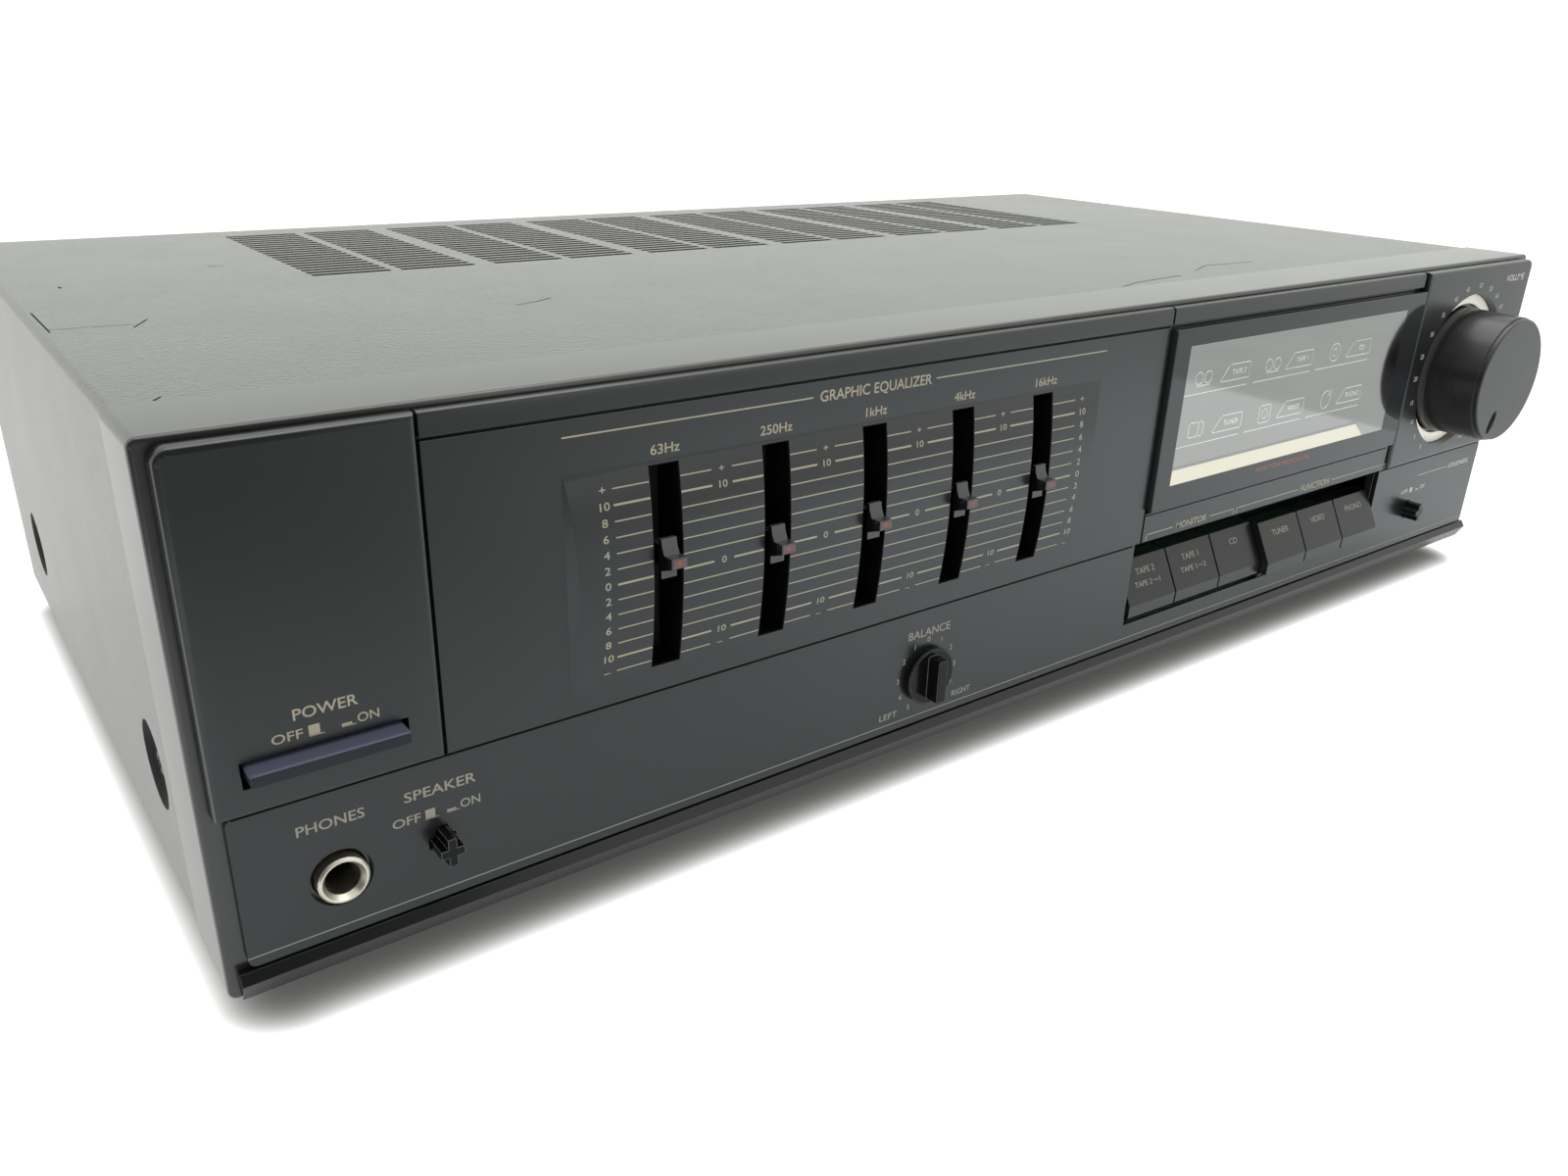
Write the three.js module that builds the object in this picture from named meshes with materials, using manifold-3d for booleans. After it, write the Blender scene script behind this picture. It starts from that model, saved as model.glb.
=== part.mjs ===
import * as THREE from 'three';
import { mergeVertices } from 'three/addons/utils/BufferGeometryUtils.js';
import Module from 'manifold-3d';

// Sizes are in millimetres and angles in degrees.
// X runs to the right, Y to the back and Z up, seen from the front.

// Shares, counts and angles
const HALF_SHARE = 0.5;
const GLOSS_SHARE = 0.15;
const FIRST_SLOT_SHARE = 0.1438;
const SLOT_PITCH_SHARE = 0.1783;
const QUARTER_TURN = 90;
const BEVEL_STEPS = 2;
const CORNER_STEPS = 3;
const ROUND_STEPS = 24;
const SMALL_ROUND_STEPS = 12;
const KNOB_STEPS = 60;
const DISH_STEPS = 3;
const POSITION_VALUES = 3;
const INDEX_VALUES = 1;
const SIDEWAYS = [1, 0, 0];

// Fits
const FIT_GAP = 0.3;
const SHAFT_FIT = 0.15;
const STEM_FIT = 0.3;
const MERGE_GAP = 0.0001;

// Front bezel
const BEZEL_WIDTH = 420;
const BEZEL_HEIGHT = 98.1;
const BEZEL_DEPTH = 20;
const BEZEL_WALL = 1.8;
const BEZEL_PLATE = 2.5;
const BEZEL_EDGE = 0.7;
const BEZEL_CORNER = 1.6;
const RIM_BAND = 2.1;
const TOP_BAND = 1.1;
const BOSS_WIDTH = 5;
const BOSS_ROOT = 0.5;

// Upper row of the fascia
const POWER_BLOCK_WIDTH = 37.8;
const POWER_BLOCK_GAP = 0.6;
const DISPLAY_GAP = 0.7;
const DISPLAY_WIDTH = 120;
const VOLUME_BLOCK_GAP = 1.2;
const BLOCK_PROUD = 3.4;
const BLOCK_EDGE = 1.1;
const BLOCK_CORNER = 2.6;
const PANEL_PROUD = 2.4;
const STRIP_GROOVE = 0.6;
const STRIP_GROOVE_DEPTH = 1.3;
const TOP_STRIP_HEIGHT = 4.2;
const TOP_EDGE = 0.9;
const TOP_EDGE_SHOULDER = 0.25;

// Lower strip and bottom moulding
const MOULDING_HEIGHT = 5.8;
const MOULDING_INSET = 2;
const MOULDING_PROUD = 2.8;
const MOULDING_NOSE = 4;
const MOULDING_TOP_PROUD = 1.6;
const MOULDING_FOOT_PROUD = 0.6;
const STRIP_BOTTOM_GAP = 0.5;
const STRIP_HEIGHT = 29.2;
const STRIP_TOP_GAP = 0.6;
const STRIP_INSET = 3.7;
const STRIP_PROUD = 1.4;
const STRIP_CORNER = 1.5;

// Equaliser field
const SLOT_COUNT = 5;
const SLOT_WIDTH = 6.4;
const SLOT_BOTTOM_RISE = 5.3;
const SLOT_TOP_DROP = 15.4;
const FIELD_LEFT = 24.1;
const FIELD_RIGHT = 24.5;
const FIELD_BOTTOM_RISE = 4.2;
const FIELD_TOP_DROP = 14.4;
const FIELD_BULGE = 1.8;
const FIELD_STEPS = 24;
const SCALE_ZERO_DROP = 0.6;

// Slider caps
const CAP_WIDTH = 3.3;
const CAP_HEIGHT = 7.8;
const CAP_DEPTH = 0.9;
const CAP_DIP_RISE = 2.4;
const CAP_DIP_PROUD = 0.3;
const RIDGE_ROOT_RISE = 1;
const RIDGE_ROOT_PROUD = 1;
const RIDGE_TIP_RISE = 1.1;
const RIDGE_TIP_DROP = 0.9;
const RIDGE_FOOT_DROP = 2.3;
const RIDGE_PROUD = 3.7;
const TONGUE_WIDTH = 1.4;
const TONGUE_HEIGHT = 4;
const CAP_REST_RISE = 0.5;
const FIRST_CAP_REST_RISE = 2.9;

// Display
const DISPLAY_PROUD = 3.9;
const DISPLAY_THICKNESS = 2.6;
const DISPLAY_BOTTOM_RISE = 8.6;
const DISPLAY_TOP_DROP = 5.2;
const SURROUND_LOW_HEIGHT = 7.9;
const SURROUND_BACK = 0.6;
const DISPLAY_EDGE = 0.25;
const WINDOW_SIDE_MARGIN = 6;
const WINDOW_TOP_MARGIN = 5;
const DISPLAY_BOARD_DEPTH = 8;

// Volume knob and its surroundings
const VOLUME_LEFT_MARGIN = 6.95;
const VOLUME_RIGHT_MARGIN = 10.95;
const VOLUME_DROP = 2.25;
const VOLUME_MARGIN = 6.2;
const RING_WIDTH = 3.35;
const RING_SINK = 2.4;
const KNOB_RING_GAP = 0.9;
const KNOB_BASE_PROUD = 3.1;
const KNOB_BACK_PROUD = 1;
const KNOB_FLANGE = 0.3;
const KNOB_TAPER = 0.4;
const KNOB_RIM_PROUD = 17.9;
const KNOB_FACE_STEP = 0.4;
const KNOB_PROUD = 19.5;
const KNOB_FACE_EDGE = 0.3;
const KNOB_BORE_PROUD = 15;
const DIMPLE_R = 1.7;
const DIMPLE_LENGTH = 4;
const DIMPLE_SINK = 0.6;
const DIMPLE_INSET = 5.1;
const DIMPLE_ANGLE = -113;
const SHAFT_R = 3;
const SHAFT_FRONT_PROUD = 14.6;
const POT_R = 12;
const POT_FRONT = 5;
const POT_POCKET_BACK = 15;
const SHAFT_BACK = 14.4;
const SHAFT_HOLE_R = 3.6;

// Power bar
const BAR_SLOT_LEFT = 6.9;
const BAR_SLOT_WIDTH = 27;
const BAR_SLOT_RISE = 5;
const BAR_SLOT_HEIGHT = 4.7;
const BAR_SIDE_GAP = 0.6;
const BAR_BOTTOM_GAP = 1.3;
const BAR_HEIGHT = 2.5;
const BAR_PROUD = 6.5;
const BAR_EDGE = 0.35;
const BAR_BACK = 3;
const BAR_STEM_WIDTH = 6;
const BAR_STEM_HEIGHT = 2;

// Push stems
const SPEAKER_X = 38.5;
const LOUDNESS_FROM_RIGHT = 46;
const STEM_ROW_HEIGHT = 18.3;
const CROSS_REACH = 5.6;
const CROSS_SIDE_REACH = 4.4;
const CROSS_WIDTH = 1.6;
const CROSS_PROUD = 6.1;
const CROSS_BACK = 5;
const STEM_WIDTH = 3.2;

// Source keys
const KEY_COUNT = 6;
const LATCHED_KEYS = 3;
const BAY_FROM_DISPLAY = 1.3;
const BAY_FROM_BLOCK = 1;
const BAY_BOTTOM = 12.3;
const KEY_LEFT_GAP = 0.9;
const KEY_GAP = 0.6;
const KEY_BOTTOM_GAP = 0.3;
const KEY_BASE_HEIGHT = 16.1;
const KEY_RIDGE_RISE = 5.1;
const KEY_RIDGE_PROUD = 4.5;
const KEY_LIP_PROUD = 1.4;
const KEY_TOP_SINK = 1.3;
const KEY_BACK = 6;
const LATCH_DEPTH = 2.4;
const KEY_STEM_WIDTH = 4;
const KEY_STEM_HEIGHT = 4;

// Balance knob
const BALANCE_FROM_BAY = 72.5;
const BALANCE_BOSS_OFFSET = 31.5;
const BALANCE_HEIGHT = 18.4;
const SKIRT_R = 7;
const SKIRT_BACK_PROUD = 1.7;
const SKIRT_PROUD = 3.2;
const FIN_THICKNESS = 2.9;
const FIN_REACH = 5.4;
const FIN_PROUD = 6.9;
const FIN_EDGE = 0.3;
const BALANCE_SHAFT_PROUD = 2.6;
const BALANCE_POT_R = 8;

// Headphone socket
const PHONES_X = 20.4;
const PHONES_HEIGHT = 17.9;
const PHONES_HOLE_R = 5.5;
const BUSHING_R = 4.5;
const BUSHING_PROUD = 2.9;
const BUSHING_MOUTH_R = 3.85;
const BUSHING_LIP = 0.4;
const BUSHING_FUNNEL = 1.1;
const SOCKET_BORE_R = 3.1;
const BUSHING_BACK = 4.4;
const JACK_WIDTH = 15;
const SOCKET_BACK = 17;

// Control board behind the front
const BOARD_FRONT = 18.5;
const BOARD_THICKNESS = 1.6;
const BOARD_SIDE_MARGIN = 8;
const BOARD_BOTTOM = 6;
const BOARD_TOP_MARGIN = 5;
const CONTROL_BACK = 18.2;
const SLIDE_POT_WIDTH = 9;
const SLIDE_POT_FRONT = 4.5;
const SLIDE_POT_END = 4.5;
const SLIDE_POCKET_WIDTH = 2.4;
const SLIDE_POCKET_BACK = 12;
const TONGUE_BACK = 11;
const SWITCH_FRONT = 9.5;
const SWITCH_POCKET_BACK = 16.8;
const STEM_BACK = 13;
const SMALL_SWITCH_WIDTH = 12;
const POWER_SWITCH_WIDTH = 22;
const POWER_SWITCH_HEIGHT = 14;

// Steel cover
const COVER_INSET = 0.6;
const COVER_TOP_DROP = 0.3;
const COVER_BOTTOM = 1.5;
const COVER_SEAM = 0.3;
const COVER_BACK = 221.4;
const COVER_THICKNESS = 1;
const COVER_BEND = 1.6;
const VENT_LEFT = 65.6;
const VENT_RIGHT = 73.2;
const VENT_FRONT = 128;
const VENT_PAIR_PITCH = 47.8;
const VENT_BANK_WIDTH = 19.8;
const VENT_BANK_GAP = 2.6;
const VENT_SLOT_COUNT = 20;
const VENT_SLOT_PITCH = 4.15;
const VENT_SLOT_WIDTH = 2.6;
const DISH_R = 9;
const DISH_DEPTH = 1.8;
const DISH_BACKING = 2.2;
const DISH_BACKING_R = 10.5;
const DISH_SCREW_R = 1.6;
const FRONT_DISH_Y = 38.5;
const FRONT_DISH_HEIGHT = 27;
const REAR_DISH_Y = 181.5;
const REAR_DISH_HEIGHT = 24;

// Chassis tray, rear panel and feet
const TRAY_INSET = 4.2;
const TRAY_LIFT = 2.1;
const TRAY_STEEL = 1;
const TRAY_FRONT = 3;
const TRAY_REAR_GAP = 0.4;
const TRAY_FLANGE = 9;
const TAB_WIDTH = 22;
const TAB_TOP = 36;
const POST_WIDTH = 6;
const REAR_PANEL_FRONT = 218.5;
const REAR_PANEL_STEEL = 1.2;
const REAR_PANEL_TOP_GAP = 0.6;
const FOOT_HEIGHT = 8;
const FOOT_R = 15;
const FOOT_TOP_R = 13;
const FOOT_SIDE = 45;
const FOOT_FRONT_Y = 40;
const FOOT_REAR_Y = 190;
const FOOT_CHAMFER = 1;

// Inside
const MAIN_BOARD_LEFT = 112;
const MAIN_BOARD_FROM_RIGHT = 16;
const MAIN_BOARD_FRONT = 32;
const MAIN_BOARD_REAR_GAP = 0.7;
const MAIN_BOARD_LIFT = 10;
const MAIN_BOARD_THICKNESS = 1.6;
const POST_MARGIN = 7;
const CORE_LEFT = 18;
const CORE_FRONT = 56;
const CORE_WIDTH = 78;
const CORE_DEPTH = 34;
const CORE_HEIGHT = 65;
const CORE_LIMB = 13;
const CORE_MIDDLE_LIMB = 26;
const WINDING_MARGIN = 11;
const CORE_GAP = 0.4;
const SINK_LEFT = 130;
const SINK_FRONT = 150;
const SINK_FROM_RIGHT = 80;
const SINK_HEADROOM = 15.4;
const SINK_BASE = 5;
const SINK_FIN_LENGTH = 30;
const SINK_FIN_COUNT = 14;
const SINK_FIN_THICKNESS = 2;
const MODULE_WIDTH = 78;
const MODULE_HEIGHT = 44;
const MODULE_THICKNESS = 7;
const MODULE_LIFT = 16;
const CAPACITOR_R = 12.5;
const CAPACITOR_HEIGHT = 42;
const CAPACITOR_EDGE = 1.2;
const CAPACITOR_X = 132;
const CAPACITOR_PITCH = 29;
const CAPACITOR_Y = 96;

// Rear connections
const SOCKETS_LEFT = 40;
const SOCKETS_BOTTOM = 34;
const SOCKET_COLUMNS = 6;
const SOCKET_ROWS = 2;
const SOCKET_PITCH = 18;
const SOCKET_MARGIN = 10;
const SOCKET_PLATE = 2;
const SOCKET_BARREL_R = 4.2;
const SOCKET_BARREL_LENGTH = 7.6;
const SOCKET_ROOT_R = 6;
const SOCKET_ROOT = 1;
const TERMINALS_WIDTH = 92;
const TERMINALS_BOTTOM = 30;
const TERMINALS_HEIGHT = 34;
const TERMINALS_DEPTH = 6;
const TERMINAL_COUNT = 8;
const LEVER_WIDTH = 8;
const LEVER_HEIGHT = 9;
const LEVER_DEPTH = 3.4;
const TERMINAL_HOLE_R = 1.6;
const TERMINAL_HOLE_DEPTH = 4;
const INLET_FROM_RIGHT = 48;
const INLET_HEIGHT = 30;
const INLET_WIDTH = 27;
const INLET_TALL = 16;
const INLET_DEPTH = 3;
const INLET_BODY_WIDTH = 22;
const INLET_BODY_TALL = 12;
const INLET_BODY_DEPTH = 14;
const INLET_RECESS_WIDTH = 17.4;
const INLET_RECESS_TALL = 8.4;
const INLET_RECESS_DEPTH = 14;
const INLET_PIN_R = 1.2;
const INLET_PIN_PITCH = 8.6;
const INLET_PIN_LENGTH = 10;

// Derived places of the front
const halved = (length) => length * HALF_SHARE;
const upperBottom = MOULDING_HEIGHT + STRIP_BOTTOM_GAP + STRIP_HEIGHT + STRIP_TOP_GAP;
const upperTop = BEZEL_HEIGHT - TOP_BAND;
const stripBottom = MOULDING_HEIGHT + STRIP_BOTTOM_GAP;
const stripTop = stripBottom + STRIP_HEIGHT;
const equaliserLeft = RIM_BAND + POWER_BLOCK_WIDTH + POWER_BLOCK_GAP;
const volumeRight = BEZEL_WIDTH - RIM_BAND;
const volumeHoleR = halved(upperTop - upperBottom) - VOLUME_MARGIN;
const volumeX = volumeRight - volumeHoleR - VOLUME_RIGHT_MARGIN;
const volumeLeft = volumeX - volumeHoleR - VOLUME_LEFT_MARGIN;
const displayLeft = volumeLeft - VOLUME_BLOCK_GAP - DISPLAY_WIDTH;
const equaliserWidth = displayLeft - DISPLAY_GAP - equaliserLeft;
const loudnessX = BEZEL_WIDTH - LOUDNESS_FROM_RIGHT;
const fieldLeft = equaliserLeft + FIELD_LEFT;
const fieldWidth = equaliserWidth - FIELD_LEFT - FIELD_RIGHT;
const fieldRight = fieldLeft + fieldWidth;
const fieldBottom = upperBottom + FIELD_BOTTOM_RISE;
const fieldTop = upperTop - FIELD_TOP_DROP;
const slotBottom = upperBottom + SLOT_BOTTOM_RISE;
const slotTop = upperTop - SLOT_TOP_DROP;
const scaleZero = halved(slotBottom + slotTop) - SCALE_ZERO_DROP;
const displayBottom = upperBottom + DISPLAY_BOTTOM_RISE;
const displayTop = upperTop - DISPLAY_TOP_DROP;
const controlTop = BEZEL_HEIGHT - BOARD_TOP_MARGIN;
const bayLeft = displayLeft - BAY_FROM_DISPLAY;
const bayRight = volumeLeft - BAY_FROM_BLOCK;
const keyPitch = (bayRight - bayLeft - KEY_LEFT_GAP) / KEY_COUNT;
const keyWidth = keyPitch - KEY_GAP;
const balanceX = bayLeft - BALANCE_FROM_BAY;
const barSlotBottom = upperBottom + BAR_SLOT_RISE;
const volumeZ = halved(upperBottom + upperTop) - VOLUME_DROP;
const ringInnerR = volumeHoleR - RING_WIDTH;
const knobBaseR = ringInnerR - KNOB_RING_GAP;
const knobSkirtR = knobBaseR - KNOB_FLANGE;
const knobRimR = knobSkirtR - KNOB_TAPER;
const knobFaceR = knobRimR - KNOB_FACE_STEP;

// Derived places of the rear and the middle of the whole part
const rearFace = REAR_PANEL_FRONT + REAR_PANEL_STEEL;
const rearMost = rearFace + FIT_GAP + SOCKET_PLATE + SOCKET_ROOT + SOCKET_BARREL_LENGTH;
const middleY = halved(rearMost - KNOB_PROUD);
const trayLeft = TRAY_INSET;
const trayRight = BEZEL_WIDTH - TRAY_INSET;
const trayFloor = TRAY_LIFT + TRAY_STEEL;
const coverTop = BEZEL_HEIGHT - COVER_TOP_DROP;
const mainBoardRight = BEZEL_WIDTH - MAIN_BOARD_FROM_RIGHT;
const mainBoardBack = SINK_FRONT - FIT_GAP - MODULE_THICKNESS - MAIN_BOARD_REAR_GAP;
const sinkWidth = BEZEL_WIDTH - SINK_LEFT - SINK_FROM_RIGHT;
const moduleLeft = SINK_LEFT + halved(sinkWidth - MODULE_WIDTH);
const inletX = BEZEL_WIDTH - INLET_FROM_RIGHT;
const socketsWidth = SOCKET_MARGIN + SOCKET_MARGIN + (SOCKET_COLUMNS - 1) * SOCKET_PITCH;
const terminalsMiddle = halved(SOCKETS_LEFT + socketsWidth + inletX - halved(INLET_WIDTH));
const terminalsLeft = terminalsMiddle - halved(TERMINALS_WIDTH);

const wasm = await Module();
wasm.setup();

// Solids

function radians(angle) {
  return THREE.MathUtils.degToRad(angle);
}

function solidOf(geometry) {
  geometry.deleteAttribute('normal');
  geometry.deleteAttribute('uv');
  const merged = mergeVertices(geometry, MERGE_GAP);
  const mesh = new wasm.Mesh({
    numProp: POSITION_VALUES,
    vertProperties: new Float32Array(merged.attributes.position.array),
    triVerts: new Uint32Array(merged.index.array),
  });
  return new wasm.Manifold(mesh);
}

function geometryOf(solid) {
  const mesh = solid.getMesh();
  const shared = new THREE.BufferGeometry();
  shared.setAttribute('position', new THREE.BufferAttribute(mesh.vertProperties, POSITION_VALUES));
  shared.setIndex(new THREE.BufferAttribute(mesh.triVerts, INDEX_VALUES));
  const faceted = shared.toNonIndexed();
  faceted.computeVertexNormals();
  return faceted;
}

function joined(solids) {
  return wasm.Manifold.union(solids);
}

function box(left, right, front, back, bottom, top) {
  const geometry = new THREE.BoxGeometry(right - left, back - front, top - bottom);
  geometry.translate(halved(left + right), halved(front + back), halved(bottom + top));
  return solidOf(geometry);
}

function outline(points) {
  return new THREE.Shape(points.map(([across, up]) => new THREE.Vector2(across, up)));
}

// A flat shape in X and Z, drawn out along Y
function plate(shape, front, back, bevel = 0) {
  const geometry = new THREE.ExtrudeGeometry(shape, {
    depth: back - front - bevel - bevel,
    bevelEnabled: bevel > 0,
    bevelThickness: bevel,
    bevelSize: bevel,
    bevelOffset: -bevel,
    bevelSegments: BEVEL_STEPS,
    curveSegments: CORNER_STEPS,
  });
  geometry.rotateX(radians(QUARTER_TURN));
  geometry.translate(0, back - bevel, 0);
  return solidOf(geometry);
}

// A flat shape in Y and Z, drawn out along X
function rail(points, left, right) {
  const geometry = new THREE.ExtrudeGeometry(outline(points), { depth: right - left, bevelEnabled: false });
  geometry.rotateX(radians(QUARTER_TURN));
  geometry.rotateZ(radians(QUARTER_TURN));
  geometry.translate(left, 0, 0);
  return solidOf(geometry);
}

// A flat shape in X and Y, drawn out along Z
function column(points, bottom, top) {
  const geometry = new THREE.ExtrudeGeometry(outline(points), { depth: top - bottom, bevelEnabled: false });
  geometry.translate(0, 0, bottom);
  return solidOf(geometry);
}

// A profile of radius and Y place, turned about a line along Y
function turned(profile, x, z, steps) {
  const points = profile.map(([radius, y]) => new THREE.Vector2(radius, y));
  const geometry = new THREE.LatheGeometry(points, steps);
  geometry.translate(x, 0, z);
  return solidOf(geometry);
}

// A round bar along Y
function peg(radius, x, z, front, back, steps) {
  return turned([[0, front], [radius, front], [radius, back], [0, back]], x, z, steps);
}

function roundedRectangle(left, right, bottom, top, radius) {
  const shape = new THREE.Shape();
  const quarter = radians(QUARTER_TURN);
  shape.absarc(left + radius, bottom + radius, radius, quarter + quarter, quarter + quarter + quarter);
  shape.absarc(right - radius, bottom + radius, radius, -quarter, 0);
  shape.absarc(right - radius, top - radius, radius, 0, quarter);
  shape.absarc(left + radius, top - radius, radius, quarter, quarter + quarter);
  shape.closePath();
  return shape;
}

// A bar along Y of cross-shaped section
function crossBar(x, fit, front, back) {
  const tall = halved(CROSS_REACH) + fit;
  const wide = halved(CROSS_SIDE_REACH) + fit;
  const thin = halved(CROSS_WIDTH) + fit;
  const z = STEM_ROW_HEIGHT;
  return joined([
    box(x - wide, x + wide, front, back, z - thin, z + thin),
    box(x - thin, x + thin, front, back, z - tall, z + tall),
  ]);
}

// A bar along Y of rectangular section
function stem(x, z, width, height, front, back) {
  return box(x - halved(width), x + halved(width), front, back, z - halved(height), z + halved(height));
}

// Places that several pieces share

function slotX(index) {
  return fieldLeft + fieldWidth * (FIRST_SLOT_SHARE + index * SLOT_PITCH_SHARE);
}

function keyLeft(index) {
  return bayLeft + KEY_LEFT_GAP + index * keyPitch;
}

const keyBottom = BAY_BOTTOM + KEY_BOTTOM_GAP;
const keyStemHeight = keyBottom + halved(KEY_BASE_HEIGHT);
const barSlotRight = BAR_SLOT_LEFT + BAR_SLOT_WIDTH;
const barSlotTop = barSlotBottom + BAR_SLOT_HEIGHT;
const barX = BAR_SLOT_LEFT + halved(BAR_SLOT_WIDTH);
const barBottom = barSlotBottom + BAR_BOTTOM_GAP;
const barHeight = barBottom + halved(BAR_HEIGHT);
const slotIndexes = [...Array(SLOT_COUNT).keys()];
const keyIndexes = [...Array(KEY_COUNT).keys()];

function powerSlot(front, back) {
  return box(BAR_SLOT_LEFT, barSlotRight, front, back, barSlotBottom, barSlotTop);
}

function equaliserSlots(front, back) {
  const half = halved(SLOT_WIDTH);
  const cuts = slotIndexes.map((index) => (
    box(slotX(index) - half, slotX(index) + half, front, back, slotBottom, slotTop)
  ));
  return joined(cuts);
}

// Fascia pieces

function bezelBosses() {
  const half = halved(BOSS_WIDTH);
  const places = [
    [equaliserLeft + BOSS_WIDTH + BOSS_WIDTH, upperBottom],
    [displayLeft - BOSS_WIDTH, halved(upperBottom + upperTop)],
    [displayLeft - BOSS_WIDTH - BOSS_WIDTH, BOARD_BOTTOM + BOSS_WIDTH],
    [balanceX - BALANCE_BOSS_OFFSET, BOARD_BOTTOM + BOSS_WIDTH],
    [volumeRight - BOSS_WIDTH - BOSS_WIDTH, controlTop - BOSS_WIDTH],
    [volumeRight - BOSS_WIDTH - BOSS_WIDTH, BOARD_BOTTOM + BOSS_WIDTH],
  ];
  const bosses = places.map(([x, z]) => (
    box(x - half, x + half, BEZEL_PLATE - BOSS_ROOT, CONTROL_BACK, z - half, z + half)
  ));
  return joined(bosses);
}

function bezelCuts() {
  const far = BEZEL_PLATE + BOSS_ROOT;
  const near = -BOSS_ROOT;
  const margin = WINDOW_SIDE_MARGIN;
  return joined([
    powerSlot(near, far),
    equaliserSlots(near, far),
    box(displayLeft + margin, displayLeft + DISPLAY_WIDTH - margin, near, far,
      displayBottom + WINDOW_TOP_MARGIN, displayTop - WINDOW_TOP_MARGIN),
    peg(SHAFT_HOLE_R, volumeX, volumeZ, near, far, SMALL_ROUND_STEPS),
    peg(SHAFT_HOLE_R, balanceX, BALANCE_HEIGHT, near, far, SMALL_ROUND_STEPS),
    peg(BUSHING_R + FIT_GAP, PHONES_X, PHONES_HEIGHT, near, far, ROUND_STEPS),
    crossBar(SPEAKER_X, STEM_FIT, near, far),
    crossBar(loudnessX, STEM_FIT, near, far),
    box(bayLeft, bayRight, near, far, BAY_BOTTOM, upperBottom),
  ]);
}

function frontBezel() {
  const shape = roundedRectangle(0, BEZEL_WIDTH, 0, BEZEL_HEIGHT, BEZEL_CORNER);
  const shell = plate(shape, 0, BEZEL_DEPTH, BEZEL_EDGE);
  const hollow = box(BEZEL_WALL, BEZEL_WIDTH - BEZEL_WALL, BEZEL_PLATE, BEZEL_DEPTH + BEZEL_EDGE,
    BEZEL_WALL, BEZEL_HEIGHT - BEZEL_WALL);
  return joined([shell.subtract(hollow), bezelBosses()]).subtract(bezelCuts());
}

// The outline of a block whose outer top corner alone is rounded
function blockOutline(left, right, roundedOnRight) {
  const quarter = radians(QUARTER_TURN);
  const shape = new THREE.Shape();
  shape.moveTo(left, upperBottom);
  shape.lineTo(right, upperBottom);
  if (roundedOnRight) {
    shape.absarc(right - BLOCK_CORNER, upperTop - BLOCK_CORNER, BLOCK_CORNER, 0, quarter);
    shape.lineTo(left, upperTop);
  } else {
    shape.lineTo(right, upperTop);
    shape.absarc(left + BLOCK_CORNER, upperTop - BLOCK_CORNER, BLOCK_CORNER, quarter, quarter + quarter);
  }
  shape.closePath();
  return shape;
}

function raisedBlock(left, right, roundedOnRight) {
  const shape = blockOutline(left, right, roundedOnRight);
  const whole = plate(shape, -BLOCK_PROUD, BLOCK_PROUD, BLOCK_EDGE);
  const front = box(left - BLOCK_EDGE, right + BLOCK_EDGE, -BLOCK_PROUD - BLOCK_EDGE, -FIT_GAP,
    upperBottom - BLOCK_EDGE, upperTop + BLOCK_EDGE);
  return whole.intersect(front);
}

function powerBlock() {
  const block = raisedBlock(RIM_BAND, RIM_BAND + POWER_BLOCK_WIDTH, false);
  return block.subtract(powerSlot(-BLOCK_PROUD - BLOCK_EDGE, 0));
}

function volumeBlock() {
  const hole = peg(volumeHoleR, volumeX, volumeZ, -BLOCK_PROUD - BLOCK_EDGE, 0, KNOB_STEPS);
  return raisedBlock(volumeLeft, volumeRight, true).subtract(hole);
}

function scaleRing() {
  const outer = volumeHoleR - SHAFT_FIT;
  const profile = [
    [ringInnerR, -BLOCK_PROUD + RING_SINK],
    [outer, -BLOCK_PROUD + RING_SINK],
    [outer, -FIT_GAP],
    [ringInnerR, -FIT_GAP],
    [ringInnerR, -BLOCK_PROUD + RING_SINK],
  ];
  return turned(profile, volumeX, volumeZ, KNOB_STEPS);
}

// A flat plate of the upper row with its top front edge eased
function fasciaPlate(left, right) {
  return rail([
    [-FIT_GAP, upperBottom],
    [-FIT_GAP, upperTop],
    [-PANEL_PROUD + TOP_EDGE, upperTop],
    [-PANEL_PROUD + TOP_EDGE_SHOULDER, upperTop - TOP_EDGE_SHOULDER],
    [-PANEL_PROUD, upperTop - TOP_EDGE],
    [-PANEL_PROUD, upperBottom],
  ], left, right);
}

function stripGroove(left, right) {
  const top = upperTop - TOP_STRIP_HEIGHT;
  return box(left - STRIP_GROOVE, right + STRIP_GROOVE, -PANEL_PROUD - STRIP_GROOVE,
    -PANEL_PROUD + STRIP_GROOVE_DEPTH, top - STRIP_GROOVE, top);
}

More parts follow.
